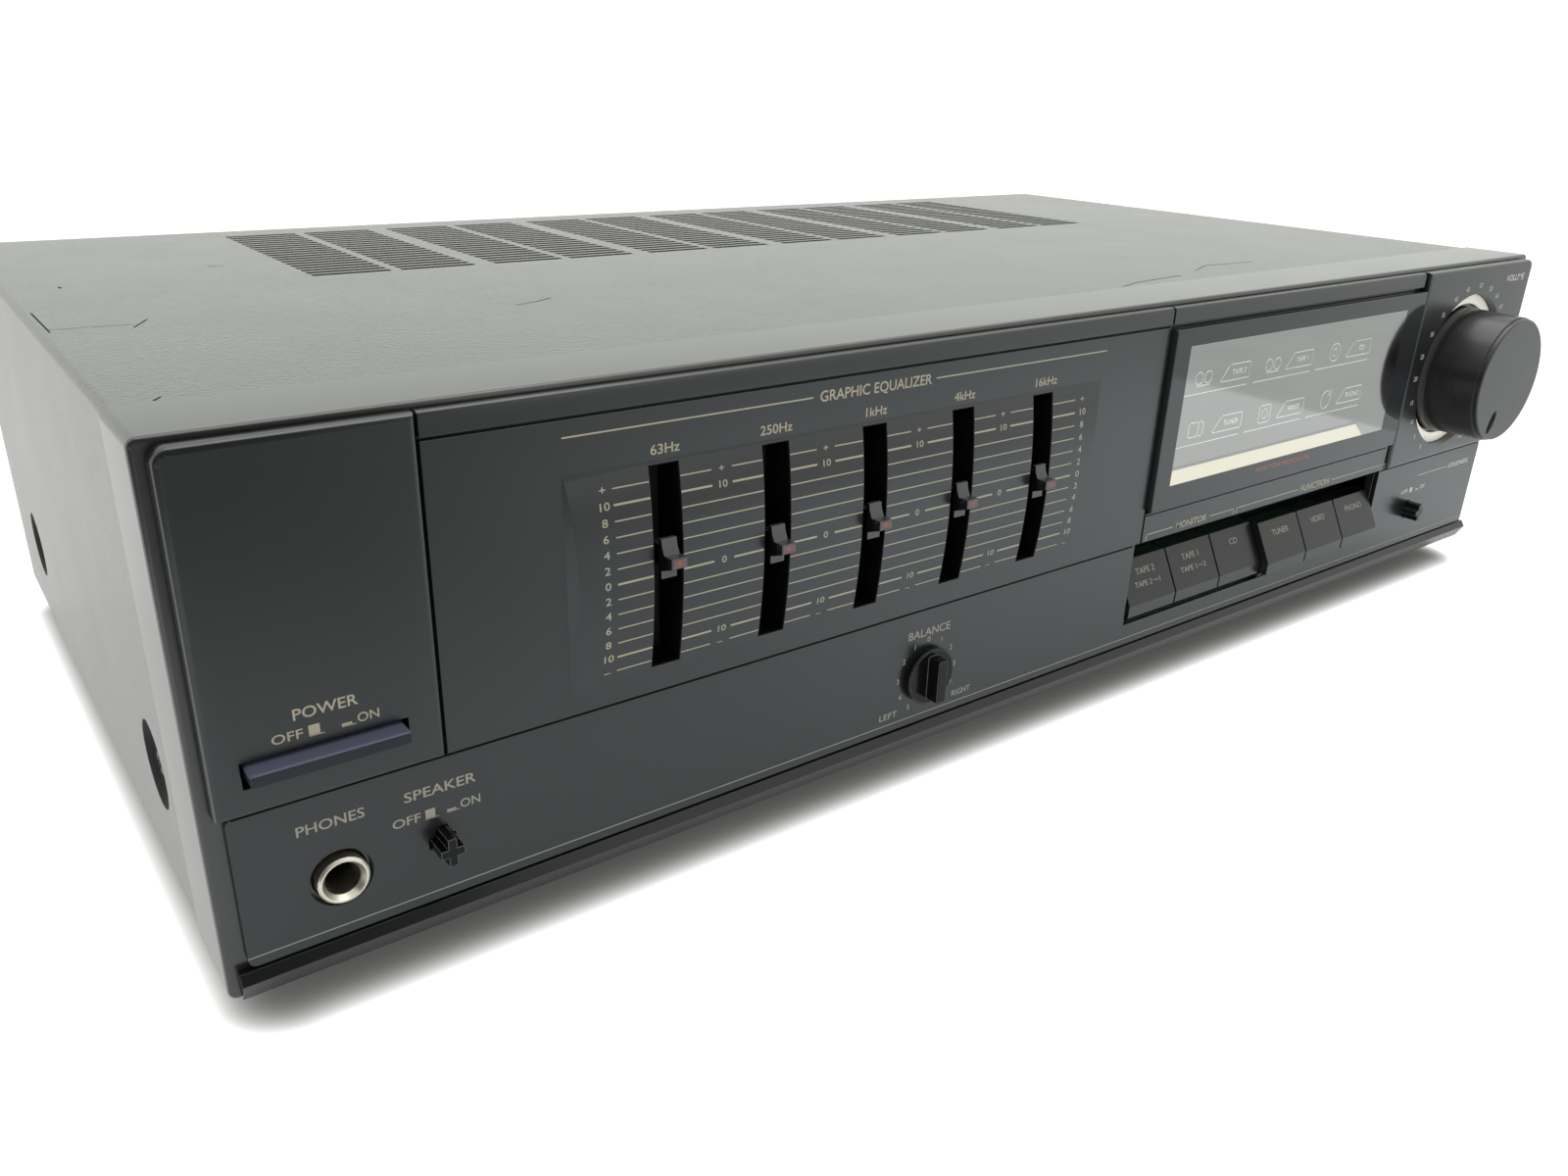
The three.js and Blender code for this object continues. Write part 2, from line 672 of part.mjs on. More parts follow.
// The barrel field: a cylinder surface cut off by slanting ends
function barrelField() {
  const halfHeight = halved(fieldTop - fieldBottom);
  const radius = halved((halfHeight * halfHeight) / FIELD_BULGE + FIELD_BULGE);
  const middle = fieldBottom + halfHeight;
  const centreY = -PANEL_PROUD - FIELD_BULGE + radius;
  const reach = Math.asin(halfHeight / radius);
  const arc = [...Array(FIELD_STEPS + 1).keys()].map((step) => {
    const angle = reach * ((step + step) / FIELD_STEPS - 1);
    return [centreY - radius * Math.cos(angle), middle + radius * Math.sin(angle)];
  });
  const root = -PANEL_PROUD + STRIP_GROOVE_DEPTH;
  const barrel = rail([[root, fieldBottom], ...arc, [root, fieldTop]],
    fieldLeft, fieldRight);
  const ends = column([
    [fieldLeft, root],
    [fieldLeft, -PANEL_PROUD],
    [fieldLeft + FIELD_BULGE, -PANEL_PROUD - FIELD_BULGE],
    [fieldRight - FIELD_BULGE, -PANEL_PROUD - FIELD_BULGE],
    [fieldRight, -PANEL_PROUD],
    [fieldRight, root],
  ], fieldBottom, fieldTop);
  return barrel.intersect(ends);
}

function equaliserPanel() {
  const right = equaliserLeft + equaliserWidth;
  return joined([fasciaPlate(equaliserLeft, right), barrelField()])
    .subtract(joined([stripGroove(equaliserLeft, right), equaliserSlots(-BAR_PROUD, 0)]));
}

function displaySurround() {
  const right = displayLeft + DISPLAY_WIDTH;
  const recess = box(displayLeft - STRIP_GROOVE, right + STRIP_GROOVE, -PANEL_PROUD - STRIP_GROOVE,
    -FIT_GAP - SURROUND_BACK, upperBottom + SURROUND_LOW_HEIGHT, upperTop - TOP_STRIP_HEIGHT);
  const margin = WINDOW_SIDE_MARGIN;
  const window = box(displayLeft + margin, right - margin, -PANEL_PROUD, 0,
    displayBottom + WINDOW_TOP_MARGIN, displayTop - WINDOW_TOP_MARGIN);
  return fasciaPlate(displayLeft, right).subtract(recess).subtract(window);
}

function displayPanel() {
  const right = displayLeft + DISPLAY_WIDTH;
  const shape = roundedRectangle(displayLeft, right, displayBottom, displayTop, BEZEL_EDGE);
  return plate(shape, -DISPLAY_PROUD, -DISPLAY_PROUD + DISPLAY_THICKNESS, DISPLAY_EDGE);
}

function lowerStrip() {
  const right = BEZEL_WIDTH - STRIP_INSET;
  const near = -STRIP_PROUD - STRIP_PROUD;
  const shape = roundedRectangle(STRIP_INSET, right, stripBottom, stripTop, STRIP_CORNER);
  const body = plate(shape, -STRIP_PROUD, -FIT_GAP);
  return body.subtract(joined([
    box(bayLeft, bayRight, near, 0, BAY_BOTTOM, stripTop + STRIP_TOP_GAP),
    peg(PHONES_HOLE_R, PHONES_X, PHONES_HEIGHT, near, 0, ROUND_STEPS),
    peg(SHAFT_HOLE_R, balanceX, BALANCE_HEIGHT, near, 0, SMALL_ROUND_STEPS),
    crossBar(SPEAKER_X, STEM_FIT, near, 0),
    crossBar(loudnessX, STEM_FIT, near, 0),
  ]));
}

function bottomMoulding() {
  return rail([
    [-FIT_GAP, 0],
    [-FIT_GAP, MOULDING_HEIGHT],
    [-MOULDING_TOP_PROUD, MOULDING_HEIGHT],
    [-MOULDING_PROUD, MOULDING_NOSE],
    [-MOULDING_FOOT_PROUD, 0],
  ], MOULDING_INSET, BEZEL_WIDTH - MOULDING_INSET);
}

// Moving pieces

function powerButton() {
  const shape = roundedRectangle(BAR_SLOT_LEFT + BAR_SIDE_GAP, barSlotRight - BAR_SIDE_GAP,
    barBottom, barBottom + BAR_HEIGHT, BAR_EDGE + BAR_EDGE);
  const bar = plate(shape, -BAR_PROUD, BAR_BACK, BAR_EDGE);
  return joined([bar, stem(barX, barHeight, BAR_STEM_WIDTH, BAR_STEM_HEIGHT, 0, STEM_BACK)]);
}

function pushStem(x) {
  return joined([
    crossBar(x, 0, -CROSS_PROUD, CROSS_BACK),
    stem(x, STEM_ROW_HEIGHT, STEM_WIDTH, STEM_WIDTH, CROSS_BACK - CROSS_WIDTH, STEM_BACK),
  ]);
}

function sourceKey(index) {
  const left = keyLeft(index);
  const ridge = keyBottom + KEY_RIDGE_RISE;
  const top = keyBottom + KEY_BASE_HEIGHT;
  const body = rail([
    [KEY_TOP_SINK, top],
    [-KEY_RIDGE_PROUD, ridge],
    [-KEY_LIP_PROUD, keyBottom],
    [KEY_BACK, keyBottom],
    [KEY_BACK, top],
  ], left, left + keyWidth);
  const push = stem(left + halved(keyWidth), keyStemHeight, KEY_STEM_WIDTH, KEY_STEM_HEIGHT, 0, STEM_BACK);
  const key = joined([body, push]);
  return index < LATCHED_KEYS ? key.translate(0, LATCH_DEPTH, 0) : key;
}

function sliderCap(index) {
  const x = slotX(index);
  const z = scaleZero + (index > 0 ? CAP_REST_RISE : FIRST_CAP_REST_RISE);
  const face = -PANEL_PROUD - FIELD_BULGE;
  const back = face + CAP_DEPTH;
  const tip = face - RIDGE_PROUD;
  const half = halved(CAP_HEIGHT);
  const cap = rail([
    [back, z - half],
    [face, z - half],
    [face, z - RIDGE_FOOT_DROP],
    [tip, z - RIDGE_TIP_DROP],
    [tip, z + RIDGE_TIP_RISE],
    [face - RIDGE_ROOT_PROUD, z + RIDGE_ROOT_RISE],
    [face - CAP_DIP_PROUD, z + CAP_DIP_RISE],
    [face, z + half],
    [back, z + half],
  ], x - halved(CAP_WIDTH), x + halved(CAP_WIDTH));
  return joined([cap, stem(x, z, TONGUE_WIDTH, TONGUE_HEIGHT, face, TONGUE_BACK)]);
}

function volumeKnob() {
  const bore = SHAFT_R + SHAFT_FIT;
  const body = turned([
    [0, -KNOB_PROUD],
    [knobFaceR - KNOB_FACE_EDGE, -KNOB_PROUD],
    [knobFaceR, -KNOB_PROUD + KNOB_FACE_EDGE],
    [knobFaceR, -KNOB_RIM_PROUD],
    [knobRimR, -KNOB_RIM_PROUD],
    [knobSkirtR, -KNOB_BASE_PROUD],
    [knobBaseR, -KNOB_BASE_PROUD],
    [knobBaseR, -KNOB_BACK_PROUD],
    [bore, -KNOB_BACK_PROUD],
    [bore, -KNOB_BORE_PROUD],
    [0, -KNOB_BORE_PROUD],
  ], volumeX, volumeZ, KNOB_STEPS);
  return body.subtract(pointerDimple());
}

// The long shallow dimple in the knob's face that points along its scale
function pointerDimple() {
  const geometry = new THREE.SphereGeometry(1, SMALL_ROUND_STEPS, SMALL_ROUND_STEPS);
  geometry.scale(DIMPLE_LENGTH, DIMPLE_SINK, DIMPLE_R);
  geometry.translate(knobFaceR - DIMPLE_INSET, 0, 0);
  geometry.rotateY(-radians(DIMPLE_ANGLE));
  geometry.translate(volumeX, -KNOB_PROUD, volumeZ);
  return solidOf(geometry);
}

function volumeShaft() {
  return peg(SHAFT_R, volumeX, volumeZ, -SHAFT_FRONT_PROUD, SHAFT_BACK, ROUND_STEPS);
}

function balanceKnob() {
  const bore = SHAFT_R + SHAFT_FIT;
  const skirt = turned([
    [0, -SKIRT_PROUD - SHAFT_FIT],
    [SKIRT_R - FIN_EDGE, -SKIRT_PROUD - SHAFT_FIT],
    [SKIRT_R, -SKIRT_PROUD + SHAFT_FIT],
    [SKIRT_R, -SKIRT_BACK_PROUD],
    [0, -SKIRT_BACK_PROUD],
  ], balanceX, BALANCE_HEIGHT, ROUND_STEPS);
  const half = halved(FIN_THICKNESS);
  const fin = plate(roundedRectangle(balanceX - half, balanceX + half, BALANCE_HEIGHT - FIN_REACH,
    BALANCE_HEIGHT + FIN_REACH, FIN_EDGE + FIN_EDGE), -FIN_PROUD, -SKIRT_BACK_PROUD - SHAFT_FIT, FIN_EDGE);
  const hole = peg(bore, balanceX, BALANCE_HEIGHT, -BALANCE_SHAFT_PROUD - SHAFT_FIT, 0, ROUND_STEPS);
  return joined([skirt, fin]).subtract(hole);
}

function balanceShaft() {
  return peg(SHAFT_R, balanceX, BALANCE_HEIGHT, -BALANCE_SHAFT_PROUD, SHAFT_BACK, ROUND_STEPS);
}

// Headphone socket

function phonesBushing() {
  return turned([
    [BUSHING_MOUTH_R, -BUSHING_PROUD],
    [BUSHING_R - BUSHING_LIP, -BUSHING_PROUD],
    [BUSHING_R, -BUSHING_PROUD + BUSHING_LIP],
    [BUSHING_R, BUSHING_BACK],
    [SOCKET_BORE_R, BUSHING_BACK],
    [SOCKET_BORE_R, -BUSHING_PROUD + BUSHING_FUNNEL],
    [BUSHING_MOUTH_R, -BUSHING_PROUD],
  ], PHONES_X, PHONES_HEIGHT, ROUND_STEPS);
}

function phonesJack() {
  const body = stem(PHONES_X, PHONES_HEIGHT, JACK_WIDTH, JACK_WIDTH, BUSHING_BACK + FIT_GAP, CONTROL_BACK);
  return body.subtract(peg(SOCKET_BORE_R, PHONES_X, PHONES_HEIGHT, 0, SOCKET_BACK, ROUND_STEPS));
}

// Controls behind the front

function pot(radius, x, z) {
  const pocket = peg(SHAFT_R + SHAFT_FIT, x, z, 0, POT_POCKET_BACK, ROUND_STEPS);
  return peg(radius, x, z, POT_FRONT, CONTROL_BACK, ROUND_STEPS).subtract(pocket);
}

function slidePot(index) {
  const x = slotX(index);
  const half = halved(SLIDE_POT_WIDTH);
  const body = box(x - half, x + half, SLIDE_POT_FRONT, CONTROL_BACK,
    slotBottom - SLIDE_POT_END, slotTop + SLIDE_POT_END);
  const thin = halved(SLIDE_POCKET_WIDTH);
  const pocket = box(x - thin, x + thin, 0, SLIDE_POCKET_BACK, slotBottom, slotTop);
  return body.subtract(pocket);
}

function pushSwitch(x, z, width, height, stemWidth, stemHeight) {
  const body = stem(x, z, width, height, SWITCH_FRONT, CONTROL_BACK);
  const pocket = stem(x, z, stemWidth + STEM_FIT + STEM_FIT, stemHeight + STEM_FIT + STEM_FIT,
    0, SWITCH_POCKET_BACK);
  return body.subtract(pocket);
}

function smallSwitch(x) {
  return pushSwitch(x, STEM_ROW_HEIGHT, SMALL_SWITCH_WIDTH, SMALL_SWITCH_WIDTH, STEM_WIDTH, STEM_WIDTH);
}

function powerSwitch() {
  return pushSwitch(barX, barHeight, POWER_SWITCH_WIDTH, POWER_SWITCH_HEIGHT,
    BAR_STEM_WIDTH, BAR_STEM_HEIGHT);
}

function keySwitch() {
  const body = box(bayLeft, bayRight, SWITCH_FRONT, CONTROL_BACK, keyBottom, keyBottom + KEY_BASE_HEIGHT);
  const width = KEY_STEM_WIDTH + STEM_FIT + STEM_FIT;
  const height = KEY_STEM_HEIGHT + STEM_FIT + STEM_FIT;
  const pockets = keyIndexes.map((index) => (
    stem(keyLeft(index) + halved(keyWidth), keyStemHeight, width, height, 0, SWITCH_POCKET_BACK)
  ));
  return body.subtract(joined(pockets));
}

function controlBoard() {
  return box(BOARD_SIDE_MARGIN, BEZEL_WIDTH - BOARD_SIDE_MARGIN, BOARD_FRONT, BOARD_FRONT + BOARD_THICKNESS,
    BOARD_BOTTOM, controlTop);
}

function displayBoard() {
  const margin = BOSS_WIDTH;
  const right = displayLeft + DISPLAY_WIDTH;
  return box(displayLeft + margin, right - margin, BEZEL_PLATE + FIT_GAP, DISPLAY_BOARD_DEPTH,
    displayBottom + margin, displayTop - margin);
}

// Steel cover

function ventSlots() {
  const bottom = coverTop - COVER_BEND - COVER_THICKNESS;
  const slots = [];
  const pairWidth = VENT_BANK_WIDTH + VENT_BANK_GAP + VENT_BANK_WIDTH;
  const pairSpan = BEZEL_WIDTH - VENT_LEFT - VENT_RIGHT - pairWidth;
  const lastPair = Math.round(pairSpan / VENT_PAIR_PITCH);
  for (let pair = 0; pair <= lastPair; pair += 1) {
    const pairLeft = VENT_LEFT + pair * VENT_PAIR_PITCH;
    for (const left of [pairLeft, pairLeft + VENT_BANK_WIDTH + VENT_BANK_GAP]) {
      for (let row = 0; row < VENT_SLOT_COUNT; row += 1) {
        const front = VENT_FRONT + row * VENT_SLOT_PITCH;
        const back = front + VENT_SLOT_WIDTH;
        slots.push(box(left, left + VENT_BANK_WIDTH, front, back, bottom, coverTop + COVER_BEND));
      }
    }
  }
  return joined(slots);
}

function coverSection(inset, bend) {
  const left = COVER_INSET + inset;
  const right = BEZEL_WIDTH - COVER_INSET - inset;
  const top = coverTop - inset;
  const bottom = COVER_BOTTOM - inset;
  const shape = new THREE.Shape();
  shape.moveTo(left, bottom);
  shape.lineTo(right, bottom);
  shape.absarc(right - bend, top - bend, bend, 0, radians(QUARTER_TURN));
  shape.absarc(left + bend, top - bend, bend, radians(QUARTER_TURN), radians(QUARTER_TURN + QUARTER_TURN));
  shape.closePath();
  return shape;
}

function dishPlaces() {
  return [[FRONT_DISH_Y, FRONT_DISH_HEIGHT], [REAR_DISH_Y, REAR_DISH_HEIGHT]];
}

function alongX(radius, y, z, left, right) {
  const geometry = new THREE.CylinderGeometry(radius, radius, right - left, ROUND_STEPS);
  geometry.rotateZ(radians(QUARTER_TURN));
  geometry.translate(halved(left + right), y, z);
  return solidOf(geometry);
}

// The hollow of a pressed dish in the left side of the cover
function dish(x, y, z) {
  const radius = halved((DISH_R * DISH_R) / DISH_DEPTH + DISH_DEPTH);
  const reach = Math.asin(DISH_R / radius);
  const points = [...Array(DISH_STEPS + 1).keys()].map((step) => {
    const angle = reach * (1 - step / DISH_STEPS);
    return new THREE.Vector2(radius * Math.sin(angle), radius * Math.cos(angle));
  });
  const flat = radius * Math.cos(reach);
  points.unshift(new THREE.Vector2(0, flat - DISH_DEPTH), new THREE.Vector2(DISH_R, flat - DISH_DEPTH));
  const geometry = new THREE.LatheGeometry(points, SMALL_ROUND_STEPS + CORNER_STEPS + CORNER_STEPS);
  geometry.translate(0, -flat, 0);
  geometry.rotateZ(-radians(QUARTER_TURN));
  geometry.translate(x, y, z);
  return solidOf(geometry);
}

function topCover() {
  const front = BEZEL_DEPTH + COVER_SEAM;
  const inner = plate(coverSection(COVER_THICKNESS, COVER_BEND - COVER_THICKNESS), front - COVER_BEND,
    COVER_BACK + COVER_BEND);
  let cover = plate(coverSection(0, COVER_BEND), front, COVER_BACK).subtract(inner);
  const leftFace = COVER_INSET;
  const rightFace = BEZEL_WIDTH - COVER_INSET;
  const shallow = halved(COVER_THICKNESS);
  const reach = DISH_BACKING + COVER_BEND;
  const backings = [];
  const cuts = [ventSlots()];
  for (const [y, z] of dishPlaces()) {
    backings.push(alongX(DISH_BACKING_R, y, z, leftFace + shallow, leftFace + DISH_BACKING));
    backings.push(alongX(DISH_BACKING_R, y, z, rightFace - DISH_BACKING, rightFace - shallow));
    cuts.push(dish(leftFace, y, z));
    cuts.push(dish(leftFace, y, z).mirror(SIDEWAYS).translate(BEZEL_WIDTH, 0, 0));
    cuts.push(alongX(DISH_SCREW_R, y, z, 0, reach));
    cuts.push(alongX(DISH_SCREW_R, y, z, BEZEL_WIDTH - reach, BEZEL_WIDTH));
  }
  cover = joined([cover, ...backings]);
  return cover.subtract(joined(cuts));
}

// Chassis tray, rear panel and feet

function boardPosts() {
  const half = halved(POST_WIDTH);
  const posts = [];
  for (const x of [MAIN_BOARD_LEFT + POST_MARGIN, mainBoardRight - POST_MARGIN]) {
    for (const y of [MAIN_BOARD_FRONT + POST_MARGIN, mainBoardBack - POST_MARGIN]) {
      posts.push(box(x - half, x + half, y - half, y + half, TRAY_LIFT, MAIN_BOARD_LIFT - FIT_GAP));
    }
  }
  return posts;
}

function chassisTray() {
  const back = REAR_PANEL_FRONT - TRAY_REAR_GAP;
  const floor = box(trayLeft, trayRight, TRAY_FRONT, back, TRAY_LIFT, trayFloor);
  const half = halved(TAB_WIDTH);
  const pieces = [floor, ...boardPosts()];
  for (const [left, right] of [[trayLeft, trayLeft + TRAY_STEEL], [trayRight - TRAY_STEEL, trayRight]]) {
    pieces.push(box(left, right, TRAY_FRONT, back, TRAY_LIFT, TRAY_LIFT + TRAY_FLANGE));
    for (const y of [FRONT_DISH_Y, REAR_DISH_Y]) {
      pieces.push(box(left, right, y - half, y + half, TRAY_LIFT, TAB_TOP));
    }
  }
  return joined(pieces);
}

function rearPanel() {
  const top = coverTop - COVER_THICKNESS - REAR_PANEL_TOP_GAP;
  const side = COVER_INSET + COVER_THICKNESS + REAR_PANEL_TOP_GAP;
  const body = box(side, BEZEL_WIDTH - side, REAR_PANEL_FRONT, rearFace, TRAY_LIFT, top);
  const hole = stem(inletX, INLET_HEIGHT, INLET_BODY_WIDTH + STEM_FIT + STEM_FIT,
    INLET_BODY_TALL + STEM_FIT + STEM_FIT, REAR_PANEL_FRONT - REAR_PANEL_STEEL, rearFace + REAR_PANEL_STEEL);
  return body.subtract(hole);
}

function foot(x, y) {
  const height = FOOT_HEIGHT + TRAY_LIFT - FIT_GAP;
  const geometry = new THREE.LatheGeometry([
    [0, 0],
    [FOOT_R - FOOT_CHAMFER, 0],
    [FOOT_R, FOOT_CHAMFER],
    [FOOT_TOP_R, height],
    [0, height],
  ].map(([radius, up]) => new THREE.Vector2(radius, up)), ROUND_STEPS);
  geometry.rotateX(radians(QUARTER_TURN));
  geometry.translate(x, y, -FOOT_HEIGHT);
  return solidOf(geometry);
}

// Inside

function mainBoard() {
  return box(MAIN_BOARD_LEFT, mainBoardRight, MAIN_BOARD_FRONT, mainBoardBack,
    MAIN_BOARD_LIFT, MAIN_BOARD_LIFT + MAIN_BOARD_THICKNESS);
}

function coreWindows() {
  const bottom = trayFloor + FIT_GAP + CORE_LIMB;
  const top = trayFloor + FIT_GAP + CORE_HEIGHT - CORE_LIMB;
  const middle = CORE_LEFT + halved(CORE_WIDTH);
  const half = halved(CORE_MIDDLE_LIMB);
  return [
    [CORE_LEFT + CORE_LIMB, middle - half, bottom, top],
    [middle + half, CORE_LEFT + CORE_WIDTH - CORE_LIMB, bottom, top],
  ];
}

function transformerCore() {
  const bottom = trayFloor + FIT_GAP;
  const body = box(CORE_LEFT, CORE_LEFT + CORE_WIDTH, CORE_FRONT, CORE_FRONT + CORE_DEPTH,
    bottom, bottom + CORE_HEIGHT);
  const windows = coreWindows().map(([left, right, low, high]) => (
    box(left, right, 0, COVER_BACK, low, high)
  ));
  return body.subtract(joined(windows));
}

function transformerWinding() {
  const [[left, innerLeft, bottom, top], [innerRight, right]] = coreWindows();
  const front = CORE_FRONT - WINDING_MARGIN;
  const back = CORE_FRONT + CORE_DEPTH + WINDING_MARGIN;
  const outer = box(left + CORE_GAP, right - CORE_GAP, front, back, bottom + CORE_GAP, top - CORE_GAP);
  const limb = box(innerLeft - CORE_GAP, innerRight + CORE_GAP, CORE_FRONT - CORE_GAP,
    CORE_FRONT + CORE_DEPTH + CORE_GAP, 0, BEZEL_HEIGHT);
  return outer.subtract(limb);
}

function heatSink() {
  const bottom = trayFloor + FIT_GAP;
  const back = SINK_FRONT + SINK_BASE;
  const right = SINK_LEFT + sinkWidth;
  const pitch = (sinkWidth - SINK_FIN_THICKNESS) / (SINK_FIN_COUNT - 1);
  const edge = [[SINK_LEFT, SINK_FRONT], [right, SINK_FRONT]];
  for (let fin = SINK_FIN_COUNT - 1; fin >= 0; fin -= 1) {
    const left = SINK_LEFT + fin * pitch;
    const tip = back + SINK_FIN_LENGTH;
    edge.push([left + SINK_FIN_THICKNESS, back], [left + SINK_FIN_THICKNESS, tip], [left, tip], [left, back]);
  }
  const corners = edge.filter(([x, y]) => y !== back || (x !== SINK_LEFT && x !== right));
  return column(corners, bottom, coverTop - COVER_THICKNESS - SINK_HEADROOM);
}

function powerModule() {
  const back = SINK_FRONT - FIT_GAP;
  return box(moduleLeft, moduleLeft + MODULE_WIDTH, back - MODULE_THICKNESS, back,
    MODULE_LIFT, MODULE_LIFT + MODULE_HEIGHT);
}

function filterCapacitor(x) {
  const bottom = MAIN_BOARD_LIFT + MAIN_BOARD_THICKNESS + FIT_GAP;
  const geometry = new THREE.LatheGeometry([
    [0, 0],
    [CAPACITOR_R, 0],
    [CAPACITOR_R, CAPACITOR_HEIGHT - CAPACITOR_EDGE],
    [CAPACITOR_R - CAPACITOR_EDGE, CAPACITOR_HEIGHT],
    [0, CAPACITOR_HEIGHT],
  ].map(([radius, up]) => new THREE.Vector2(radius, up)), ROUND_STEPS);
  geometry.rotateX(radians(QUARTER_TURN));
  geometry.translate(x, CAPACITOR_Y, bottom);
  return solidOf(geometry);
}

// Rear connections

function inputSockets() {
  const front = rearFace + FIT_GAP;
  const face = front + SOCKET_PLATE;
  const height = SOCKET_MARGIN + SOCKET_MARGIN + (SOCKET_ROWS - 1) * SOCKET_PITCH;
  const top = SOCKETS_BOTTOM + height;
  const pieces = [box(SOCKETS_LEFT, SOCKETS_LEFT + socketsWidth, front, face, SOCKETS_BOTTOM, top)];
  for (let column = 0; column < SOCKET_COLUMNS; column += 1) {
    for (let row = 0; row < SOCKET_ROWS; row += 1) {
      const x = SOCKETS_LEFT + SOCKET_MARGIN + column * SOCKET_PITCH;
      const z = SOCKETS_BOTTOM + SOCKET_MARGIN + row * SOCKET_PITCH;
      pieces.push(turned([
        [0, face - SOCKET_ROOT],
        [SOCKET_ROOT_R, face - SOCKET_ROOT],
        [SOCKET_ROOT_R, face + SOCKET_ROOT],
        [SOCKET_BARREL_R, face + SOCKET_ROOT],
        [SOCKET_BARREL_R, rearMost],
        [0, rearMost],
      ], x, z, SMALL_ROUND_STEPS));
    }
  }
  return joined(pieces);
}

function speakerTerminals() {
  const front = rearFace + FIT_GAP;
  const face = front + TERMINALS_DEPTH;
  const middle = TERMINALS_BOTTOM + halved(TERMINALS_HEIGHT);
  const pitch = TERMINALS_WIDTH / TERMINAL_COUNT;
  const pieces = [box(terminalsLeft, terminalsLeft + TERMINALS_WIDTH, front, face,
    TERMINALS_BOTTOM, TERMINALS_BOTTOM + TERMINALS_HEIGHT)];
  const holes = [];
  for (let index = 0; index < TERMINAL_COUNT; index += 1) {
    const x = terminalsLeft + halved(pitch) + index * pitch;
    const half = halved(LEVER_WIDTH);
    pieces.push(box(x - half, x + half, front, face + LEVER_DEPTH, middle, middle + LEVER_HEIGHT));
    holes.push(peg(TERMINAL_HOLE_R, x, middle - halved(LEVER_HEIGHT), face - TERMINAL_HOLE_DEPTH,
      face + LEVER_DEPTH, SMALL_ROUND_STEPS));
  }
  return joined(pieces).subtract(joined(holes));
}

function mainsInlet() {
  const front = rearFace + FIT_GAP;
  const face = front + INLET_DEPTH;
  const bottom = face - INLET_RECESS_DEPTH;
  const flange = stem(inletX, INLET_HEIGHT, INLET_WIDTH, INLET_TALL, front, face);
  const inside = face - INLET_BODY_DEPTH - INLET_DEPTH;
  const body = stem(inletX, INLET_HEIGHT, INLET_BODY_WIDTH, INLET_BODY_TALL, inside, face);
  const wide = halved(INLET_RECESS_WIDTH);
  const tall = halved(INLET_RECESS_TALL);
  const shape = roundedRectangle(inletX - wide, inletX + wide,
    INLET_HEIGHT - tall, INLET_HEIGHT + tall, tall - FIT_GAP);
  const tip = bottom + INLET_PIN_LENGTH;
  const pins = [-INLET_PIN_PITCH, INLET_PIN_PITCH].map((offset) => (
    peg(INLET_PIN_R, inletX + halved(offset), INLET_HEIGHT, bottom - FIT_GAP, tip, SMALL_ROUND_STEPS)
  ));
  const hollow = joined([flange, body]).subtract(plate(shape, bottom, face + INLET_DEPTH));
  return joined([hollow, ...pins]);
}

// The whole part

function finish(color, roughness, metalness) {
  return { color, roughness, metalness };
}

const FINISHES = {
  casing: finish('#6e7071', HALF_SHARE, 0),
  fascia: finish('#4a4c4e', HALF_SHARE, 0),
  gloss: finish('#17181a', GLOSS_SHARE, 0),
  knob: finish('#1b1c1e', HALF_SHARE, 0),
  pale: finish('#b9b8a6', HALF_SHARE, 0),
  steel: finish('#9a9d9f', HALF_SHARE, 1),
  bright: finish('#c9cbcc', GLOSS_SHARE, 1),
  board: finish('#7a5a2c', HALF_SHARE, 0),
  black: finish('#161616', HALF_SHARE, 0),
  winding: finish('#7c5a22', HALF_SHARE, 0),
};

const amplifier = new THREE.Group();
amplifier.name = 'amplifier';
amplifier.position.set(-halved(BEZEL_WIDTH), -middleY, FOOT_HEIGHT);

function add(name, solid, look) {
  const mesh = new THREE.Mesh(geometryOf(solid), new THREE.MeshStandardMaterial(FINISHES[look]));
  mesh.name = name;
  amplifier.add(mesh);
}

add('front_bezel', frontBezel(), 'casing');
add('power_block', powerBlock(), 'fascia');
add('equaliser_panel', equaliserPanel(), 'fascia');
add('display_surround', displaySurround(), 'fascia');
add('display_panel', displayPanel(), 'gloss');
add('display_board', displayBoard(), 'board');
add('volume_block', volumeBlock(), 'fascia');
add('scale_ring', scaleRing(), 'pale');
add('lower_strip', lowerStrip(), 'fascia');
add('bottom_moulding', bottomMoulding(), 'fascia');
add('power_button', powerButton(), 'fascia');
add('speaker_button', pushStem(SPEAKER_X), 'black');
add('loudness_button', pushStem(loudnessX), 'black');
keyIndexes.forEach((index) => add(`source_key_${index + 1}`, sourceKey(index), 'fascia'));
slotIndexes.forEach((index) => add(`slider_cap_${index + 1}`, sliderCap(index), 'fascia'));
add('volume_knob', volumeKnob(), 'knob');
add('volume_shaft', volumeShaft(), 'bright');
add('balance_knob', balanceKnob(), 'black');
add('balance_shaft', balanceShaft(), 'bright');
add('phones_bushing', phonesBushing(), 'bright');
add('phones_jack', phonesJack(), 'black');
add('control_board', controlBoard(), 'board');
add('power_switch', powerSwitch(), 'black');
add('speaker_switch', smallSwitch(SPEAKER_X), 'black');
add('loudness_switch', smallSwitch(loudnessX), 'black');
add('key_switch', keySwitch(), 'black');
slotIndexes.forEach((index) => add(`slide_pot_${index + 1}`, slidePot(index), 'steel'));
add('volume_pot', pot(POT_R, volumeX, volumeZ), 'steel');
add('balance_pot', pot(BALANCE_POT_R, balanceX, BALANCE_HEIGHT), 'steel');
add('top_cover', topCover(), 'casing');
add('chassis_tray', chassisTray(), 'steel');
add('rear_panel', rearPanel(), 'steel');
